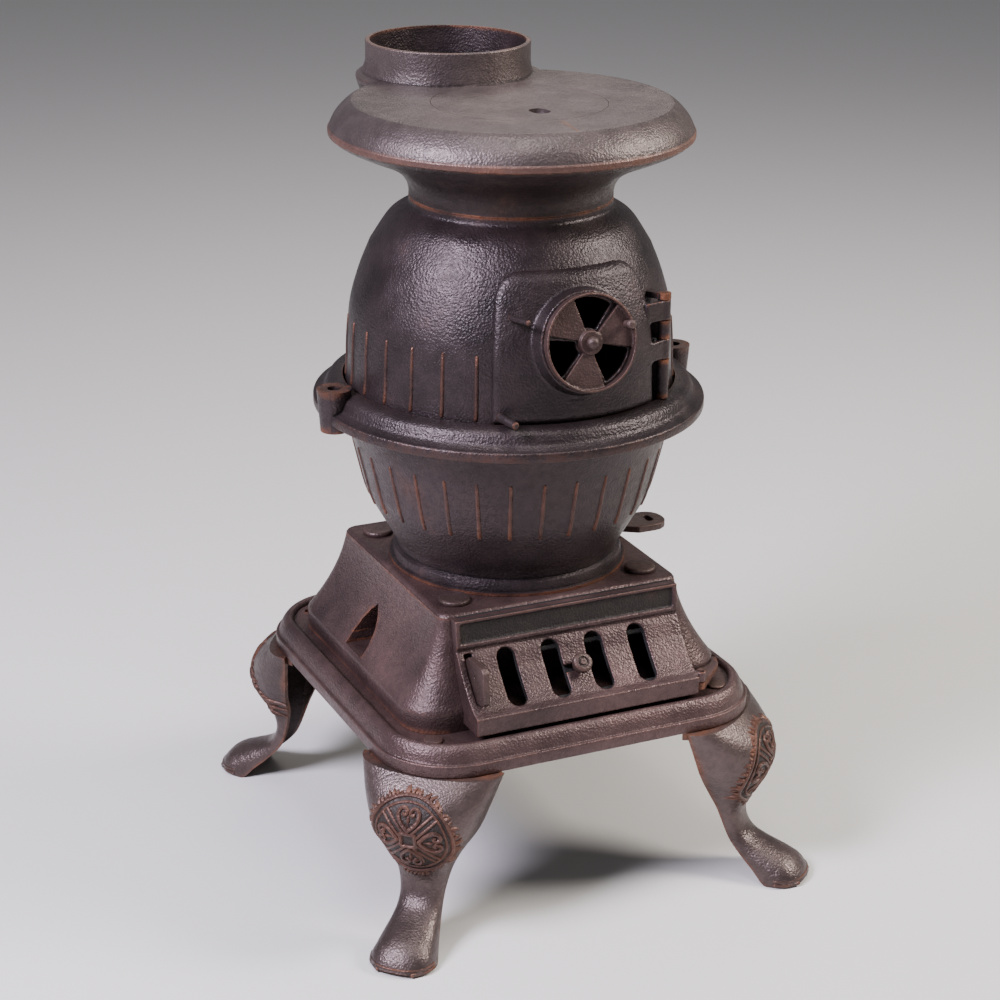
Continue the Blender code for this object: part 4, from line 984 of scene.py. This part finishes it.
def refine(me, limit):
    """Splits long edges, so that wear on an edge stays beside it."""
    bm = bmesh.new()
    bm.from_mesh(me)
    bmesh.ops.triangulate(bm, faces=[f for f in bm.faces if len(f.verts) > 4])
    for _ in range(6):
        long = [e for e in bm.edges if e.calc_length() > limit * MM]
        if not long or len(bm.faces) > 60000:
            break
        bmesh.ops.subdivide_edges(bm, edges=long, cuts=1, use_grid_fill=True)
        bmesh.ops.triangulate(bm, faces=[f for f in bm.faces if len(f.verts) > 4])
    bm.to_mesh(me)
    bm.free()


for nm, me in done.items():
    if nm in REFINE:
        refine(me, REFINE[nm])
    for v in me.vertices:
        v.co = [min(max(a, lo), hi) for a, lo, hi in zip(v.co, CAD_BOX[0], CAD_BOX[1])]


# ---------------------------------------------------------------- cast-iron finishes
def nodes_of(name):
    m = bpy.data.materials.new(name)
    m.use_nodes = True
    nt = m.node_tree
    b = nt.nodes["Principled BSDF"]
    return m, nt, b


def cast_iron(name, dark, light, rust_rgb, rust=0.5, edge=0.6, rough=(0.34, 0.62), bump=0.5, metal=0.35, dust=0.0,
              soot=0.0, pebble=1.0):
    """Weathered cast iron: mottled patina, pebbled skin, rust on the ridges, painted shade in the hollows."""
    m, nt, b = nodes_of(name)
    N, L = nt.nodes, nt.links

    def node(kind, **props):
        n = N.new(kind)
        for k, v in props.items():
            setattr(n, k, v)
        return n

    def mix(fac, a, c, kind="MIX"):
        n = node("ShaderNodeMix", data_type="RGBA", blend_type=kind)
        for sock, val in ((n.inputs[0], fac), (n.inputs[6], a), (n.inputs[7], c)):
            if isinstance(val, bpy.types.NodeSocket):
                L.new(val, sock)
            elif isinstance(val, (int, float)):
                sock.default_value = val
            else:
                sock.default_value = (*val, 1)
        return n.outputs[2]

    def calc(op, a, c=0.0, clamp=False):
        n = node("ShaderNodeMath", operation=op, use_clamp=clamp)
        for sock, val in ((n.inputs[0], a), (n.inputs[1], c)):
            if isinstance(val, bpy.types.NodeSocket):
                L.new(val, sock)
            else:
                sock.default_value = val
        return n.outputs[0]

    def span(value, a, c, lo=0.0, hi=1.0):
        n = node("ShaderNodeMapRange")
        L.new(value, n.inputs["Value"])
        n.inputs["From Min"].default_value, n.inputs["From Max"].default_value = a, c
        n.inputs["To Min"].default_value, n.inputs["To Max"].default_value = lo, hi
        return n.outputs[0]

    co = node("ShaderNodeTexCoord").outputs["Object"]

    def tex(scale, detail=4.0, rough_=0.55, lac=2.0, w=0.0):
        n = node("ShaderNodeTexNoise")
        L.new(co, n.inputs["Vector"])
        n.inputs["Scale"].default_value = scale
        n.inputs["Detail"].default_value = detail
        n.inputs["Roughness"].default_value = rough_
        n.inputs["Distortion"].default_value = w
        return n.outputs["Fac"]

    large, mid, small, fine = tex(5.0, 3, .6, w=.3), tex(28.0, 4, .65), tex(170.0, 3, .6), tex(640.0, 2, .65)
    cells = node("ShaderNodeTexVoronoi", feature="F1")
    L.new(co, cells.inputs["Vector"])
    cells.inputs["Scale"].default_value = 430.0
    point = node("ShaderNodeNewGeometry").outputs["Pointiness"]
    ridge = span(calc("ADD", point, calc("MULTIPLY", calc("SUBTRACT", small, .5), .06)), .53, .585)
    # where the surface curves inward: the mask for the painted shade in creases and hollows
    hollow = span(calc("ADD", point, calc("MULTIPLY", calc("SUBTRACT", mid, .5), .03)), .488, .44)
    up = node("ShaderNodeSeparateXYZ")
    L.new(node("ShaderNodeNewGeometry").outputs["Normal"], up.inputs[0])
    patina = span(calc("ADD", calc("MULTIPLY", large, .65), calc("MULTIPLY", mid, .35)), .36, .62)
    colour = mix(patina, dark, light)
    colour = mix(span(small, .42, .7, 0, .35), colour, tuple(c * .55 for c in dark))
    blotch = span(calc("ADD", calc("MULTIPLY", mid, .6), calc("MULTIPLY", large, .4)), .60 - .12 * rust, .84 - .12 * rust)
    rust_c = mix(span(small, .35, .65), rust_rgb, tuple(c * .5 for c in rust_rgb))
    colour = mix(calc("MULTIPLY", blotch, min(.9, rust)), colour, rust_c)
    ridge_f = calc("MULTIPLY", ridge, span(mid, .34, .62, .2 * edge, edge), clamp=True)
    colour = mix(ridge_f, colour, rust_c)
    if dust:
        top = calc("MULTIPLY", span(up.outputs["Z"], .55, 1.0), span(calc("ADD", mid, calc("MULTIPLY", small, .3)), .45, .85))
        colour = mix(calc("MULTIPLY", top, dust), colour, (0.36, 0.31, 0.29))
    # painted shade: creases and hollows darkened towards black
    colour = mix(calc("MULTIPLY", hollow, .8), colour, tuple(c * .25 for c in dark))
    # near-black over everything: sooty iron and painted shade in one
    if soot:
        colour = mix(soot, colour, (0.008, 0.007, 0.007))
    L.new(colour, b.inputs["Base Color"])
    r = span(calc("ADD", calc("MULTIPLY", mid, .6), calc("MULTIPLY", small, .4)), .35, .65, *rough)
    r = calc("ADD", r, calc("MULTIPLY", calc("MAXIMUM", ridge_f, calc("MULTIPLY", blotch, rust)), .2), clamp=True)
    L.new(r, b.inputs["Roughness"])
    b.inputs["Metallic"].default_value = metal
    b.inputs["Specular IOR Level"].default_value = 0.5
    height = calc("ADD", calc("ADD", calc("MULTIPLY", cells.outputs["Distance"], .6 * pebble), calc("MULTIPLY", small, .65)),
                  calc("ADD", calc("MULTIPLY", fine, .55), calc("MULTIPLY", mid, .45)))
    bp = node("ShaderNodeBump")
    bp.inputs["Strength"].default_value = bump
    bp.inputs["Distance"].default_value = 0.0011
    L.new(height, bp.inputs["Height"])
    L.new(bp.outputs[0], b.inputs["Normal"])
    return m


RUST_RGB = (0.26, 0.095, 0.045)
IRONS = {
    "top": cast_iron("worn_top", (0.050, 0.037, 0.036), (0.095, 0.070, 0.065), (0.16, 0.075, 0.05), rust=.06, edge=.9,
                     rough=(.34, .50), bump=.5, dust=.08, metal=.55),
    "lid": cast_iron("lid_iron", (0.050, 0.037, 0.036), (0.095, 0.070, 0.065), (0.16, 0.075, 0.05), rust=.06, edge=.1,
                     rough=(.34, .50), bump=.5, dust=.08, metal=.55),
    "rim": cast_iron("rim_iron", (0.060, 0.032, 0.027), (0.12, 0.062, 0.048), RUST_RGB, rust=.5, edge=.9, bump=.5, metal=.45),
    "body": cast_iron("body_iron", (0.018, 0.0125, 0.0135), (0.048, 0.032, 0.033), RUST_RGB, rust=.22, edge=.85, bump=.55,
                      metal=.6, rough=(.30, .52)),
    "neck": cast_iron("neck_iron", (0.017, 0.011, 0.0105), (0.040, 0.026, 0.024), RUST_RGB, rust=.25, edge=.85, bump=.45,
                      metal=.5),
    "wheel": cast_iron("wheel_iron", (0.040, 0.022, 0.020), (0.088, 0.050, 0.044), RUST_RGB, rust=.3, edge=.95, bump=.5,
                       metal=.5),
    "red": cast_iron("red_iron", (0.044, 0.0255, 0.025), (0.104, 0.060, 0.056), RUST_RGB, rust=.16, edge=.95, bump=.55,
                     metal=.55, rough=(.30, .54)),
    "leg": cast_iron("leg_iron", (0.048, 0.033, 0.031), (0.104, 0.073, 0.067), RUST_RGB, rust=.12, edge=.8, bump=.5,
                     rough=(.28, .46), metal=.6),
    "med": cast_iron("ornament_iron", (0.032, 0.017, 0.015), (0.072, 0.037, 0.030), RUST_RGB, rust=.3, edge=.45, bump=.5,
                     rough=(.32, .55), metal=.5),
    # painted shade: near-black iron for the medallions' sunk grounds, the name recess and the tray's undersides
    "field": cast_iron("field_iron", (0.009, 0.0062, 0.0055), (0.030, 0.019, 0.0155), RUST_RGB, rust=.4, edge=.5, bump=.8,
                       rough=(.42, .7)),
    "rust": cast_iron("rusty_steel", (0.046, 0.028, 0.025), (0.098, 0.060, 0.053), RUST_RGB, rust=.28, edge=.7, bump=.45,
                      metal=.5),
    # near-black iron for insides, openings, backs and slot walls: sooty, and painted shade where light does not reach
    "soot": cast_iron("sooty_iron", (0.004, 0.0032, 0.003), (0.010, 0.0075, 0.007), RUST_RGB, rust=.08, edge=.1, bump=.6,
                      rough=(.7, .9), soot=.6),
}
# the grate and the draft slide behind the slots take the sooty iron with painted shade
LOOK = {"cook_top": "top", "stove_lid": "lid", "neck": "neck", "dome": "body", "fire_door": "body", "belly_ring": "body",
        "fire_bowl": "body", "grate": "soot", "draft_slide": "soot", "draft_wheel": "wheel", "pedestal": "red",
        "base_tray": "red", "ash_door": "red", "latch_peg_upper": "body", "latch_peg_lower": "body",
        "fire_door_hinge_pin": "neck"}


def merge(target, extra):
    """Adds the faces of one mesh to another."""
    bm = bmesh.new()
    bm.from_mesh(target)
    bm.from_mesh(extra)
    bm.to_mesh(target)
    bm.free()


def paint(nm, me, rule, keys):
    """Gives the faces for which rule(centre in mm, normal) is a number that material."""
    for k in keys:
        me.materials.append(IRONS[k])
    for p in me.polygons:
        i = rule(p.center / MM, p.normal)
        if i:
            p.material_index = i


def inward(c, n):
    return (c.x * n.x + c.y * n.y) / max(1.0, math.hypot(c.x, c.y)) < -.25


def leg_rule(c, n):
    dx, dy = abs(c.x) - CX, abs(c.y) - CY
    s, t = dx * cd + dy * sdg + S0, -dx * sdg + dy * cd
    out = (n.x * math.copysign(1, c.x) * cd + n.y * math.copysign(1, c.y) * sdg)
    # painted shade on the medallion's sunk ground
    if out > .1 and math.hypot(t - MED_T, c.z - MED_Z) < MED_R - .5:
        return 1
    # painted shade: the hollow back, facing inward, takes the darker neck iron
    return 2 if out < -.3 and s < 262 else 0


def ash_rule(c, n):
    # painted shade on the name recess floor
    if abs(c.x) < 112 and 274.9 < c.z < 294.1 and n.y < -.2 and c.y > -139 - (297.5 - c.z) * .115 + 1.0:
        return 1
    # sooty iron with painted shade on the backs and the slot walls
    return 2 if n.y > .3 or (c.y > offset_y(c.z) and abs(c.x) < 111.4) else 0


def offset_y(z):
    for (y0, z0), (y1, z1) in zip(ASH_FRONT, ASH_FRONT[1:]):
        if z1 <= z <= z0 and z0 > z1:
            return y0 + (y1 - y0) * (z0 - z) / (z0 - z1) + 1.3
    return 1e9


def top_rule(c, n):
    if c.z > 740 and math.hypot(c.x, c.y - LID_Y) < LID_R + 7:
        return 3
    if c.z < RIM_Z1 + .2 and math.hypot(c.x, c.y) > RIM_R - 2.2:
        return 4
    if c.z > 752.5 and (c.x * n.x + (c.y - COLLAR_Y) * n.y) < -20:
        return 1
    # painted shade: undersides and the walls round the lid take the darker neck iron
    return 2 if (n.z < -.25 and c.z < 745) or (c.z < 749 and math.hypot(c.x, c.y) < 150 and n.z < .5) else 0


def wheel_rule(c, n):
    # backs of the door, seen through the wheel's windows: sooty iron with painted shade
    return 1 if n.y > .2 else 0


# faces turned inward or backward take the sooty iron with painted shade; the tray's undersides take painted shade
RULES = {"cook_top": (top_rule, ["body", "neck", "lid", "rim"]), "dome": (inward, ["soot"]), "fire_bowl": (inward, ["soot"]),
         "pedestal": (inward, ["soot"]), "ash_door": (ash_rule, ["field", "soot"]), "fire_door": (wheel_rule, ["soot"]),
         "neck": (lambda c, n: 1 if inward(c, n) or n.z > .7 else 0, ["soot"]),
         "base_tray": (lambda c, n: 1 if n.z < -.5 else 0, ["field"])}
total = 0
for nm in sorted(n for n in done if n not in PARTS_OF):
    me = done[nm]
    if nm not in NODES:
        raise SystemExit("no such node: " + nm)
    key = LOOK.get(nm, "leg" if nm.startswith("leg_") and "bolt" not in nm else "rust")
    me.materials.clear()
    me.materials.append(IRONS[key])
    for p in me.polygons:
        p.material_index = 0
    if key == "leg":
        paint(nm, me, leg_rule, ["field", "neck", "med"])
    elif nm in RULES:
        paint(nm, me, *RULES[nm])
    for part, node in PARTS_OF.items():
        if node == nm:
            extra = done[part]
            extra.materials.clear()
            for p in extra.polygons:
                p.material_index = 3 if part.endswith("medallion") else 0
            merge(me, extra)
    me.shade_smooth()
    if nm not in REMESH:
        me.set_sharp_from_angle(angle=math.radians(24 if nm == "cook_top" else 38))
    o = bpy.data.objects.new("v_" + nm, me)
    scene.collection.objects.link(o)
    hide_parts(nm)
    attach(o, NODE_BODY[nm])
    tris = sum(len(p.vertices) - 2 for p in me.polygons)
    total += tris
    print("piece", nm, tris)
print("triangles", total)

# ---------------------------------------------------------------- floor, light and camera
me = bpy.data.meshes.new("floor")
bm = bmesh.new()
bmesh.ops.create_grid(bm, x_segments=1, y_segments=1, size=14)
bm.to_mesh(me)
bm.free()
floor = bpy.data.objects.new("floor", me)
scene.collection.objects.link(floor)
floor.location = (0, 0, -0.0002)
m, nt, b = nodes_of("floor_paint")
b.inputs["Base Color"].default_value = (0.62, 0.60, 0.58, 1)
b.inputs["Roughness"].default_value = 0.85
me.materials.append(m)


def area(name, az, el, dist, size, power, rgb=(1, 1, 1), aim=(0, 0, .4)):
    l = bpy.data.lights.new(name, "AREA")
    l.shape, l.size, l.energy, l.color = "DISK", size, power, rgb
    o = bpy.data.objects.new(name, l)
    a, e = math.radians(az), math.radians(el)
    o.location = Vector(aim) + Vector((math.sin(a) * math.cos(e), -math.cos(a) * math.cos(e), math.sin(e))) * dist
    o.rotation_euler = (Vector(aim) - o.location).to_track_quat("-Z", "Y").to_euler()
    scene.collection.objects.link(o)
    return o


area("key", -76, 38, 2.4, .9, 150, (0.85, 0.82, 1.0))
area("fill", 66, 34, 2.6, .9, 95, (1.0, 0.95, 0.89))
area("top", -10, 76, 2.3, 1.0, 30)
area("back", 150, 46, 2.6, 1.2, 11, (1.0, 0.93, 0.86))
w = bpy.data.worlds.new("studio")
scene.world = w
w.use_nodes = True
w.node_tree.nodes["Background"].inputs[0].default_value = (0.80, 0.82, 0.86, 1)
w.node_tree.nodes["Background"].inputs[1].default_value = 0.22

az, pitch, roll = [math.radians(v) for v in (-25.06, 21.02, 0.64)]
cback = Vector((math.sin(az) * math.cos(pitch), -math.cos(az) * math.cos(pitch), math.sin(pitch)))
fwd = -cback
right = fwd.cross(Vector((0, 0, 1))).normalized()
upv = right.cross(fwd)
r2 = math.cos(roll) * right + math.sin(roll) * upv
u2 = -math.sin(roll) * right + math.cos(roll) * upv
aim = Vector((math.cos(az) * -7.12, math.sin(az) * -7.12, 352.45)) * MM
cam = bpy.data.cameras.new("camera")
cam.lens, cam.sensor_width, cam.clip_start, cam.clip_end = 85.316, 36, 0.01, 60
cam_o = bpy.data.objects.new("camera", cam)
scene.collection.objects.link(cam_o)
mat = Matrix((r2, u2, cback)).transposed().to_4x4()
mat.translation = aim - fwd * 2.33819
cam_o.matrix_world = mat
scene.camera = cam_o

bpy.context.view_layer.update()
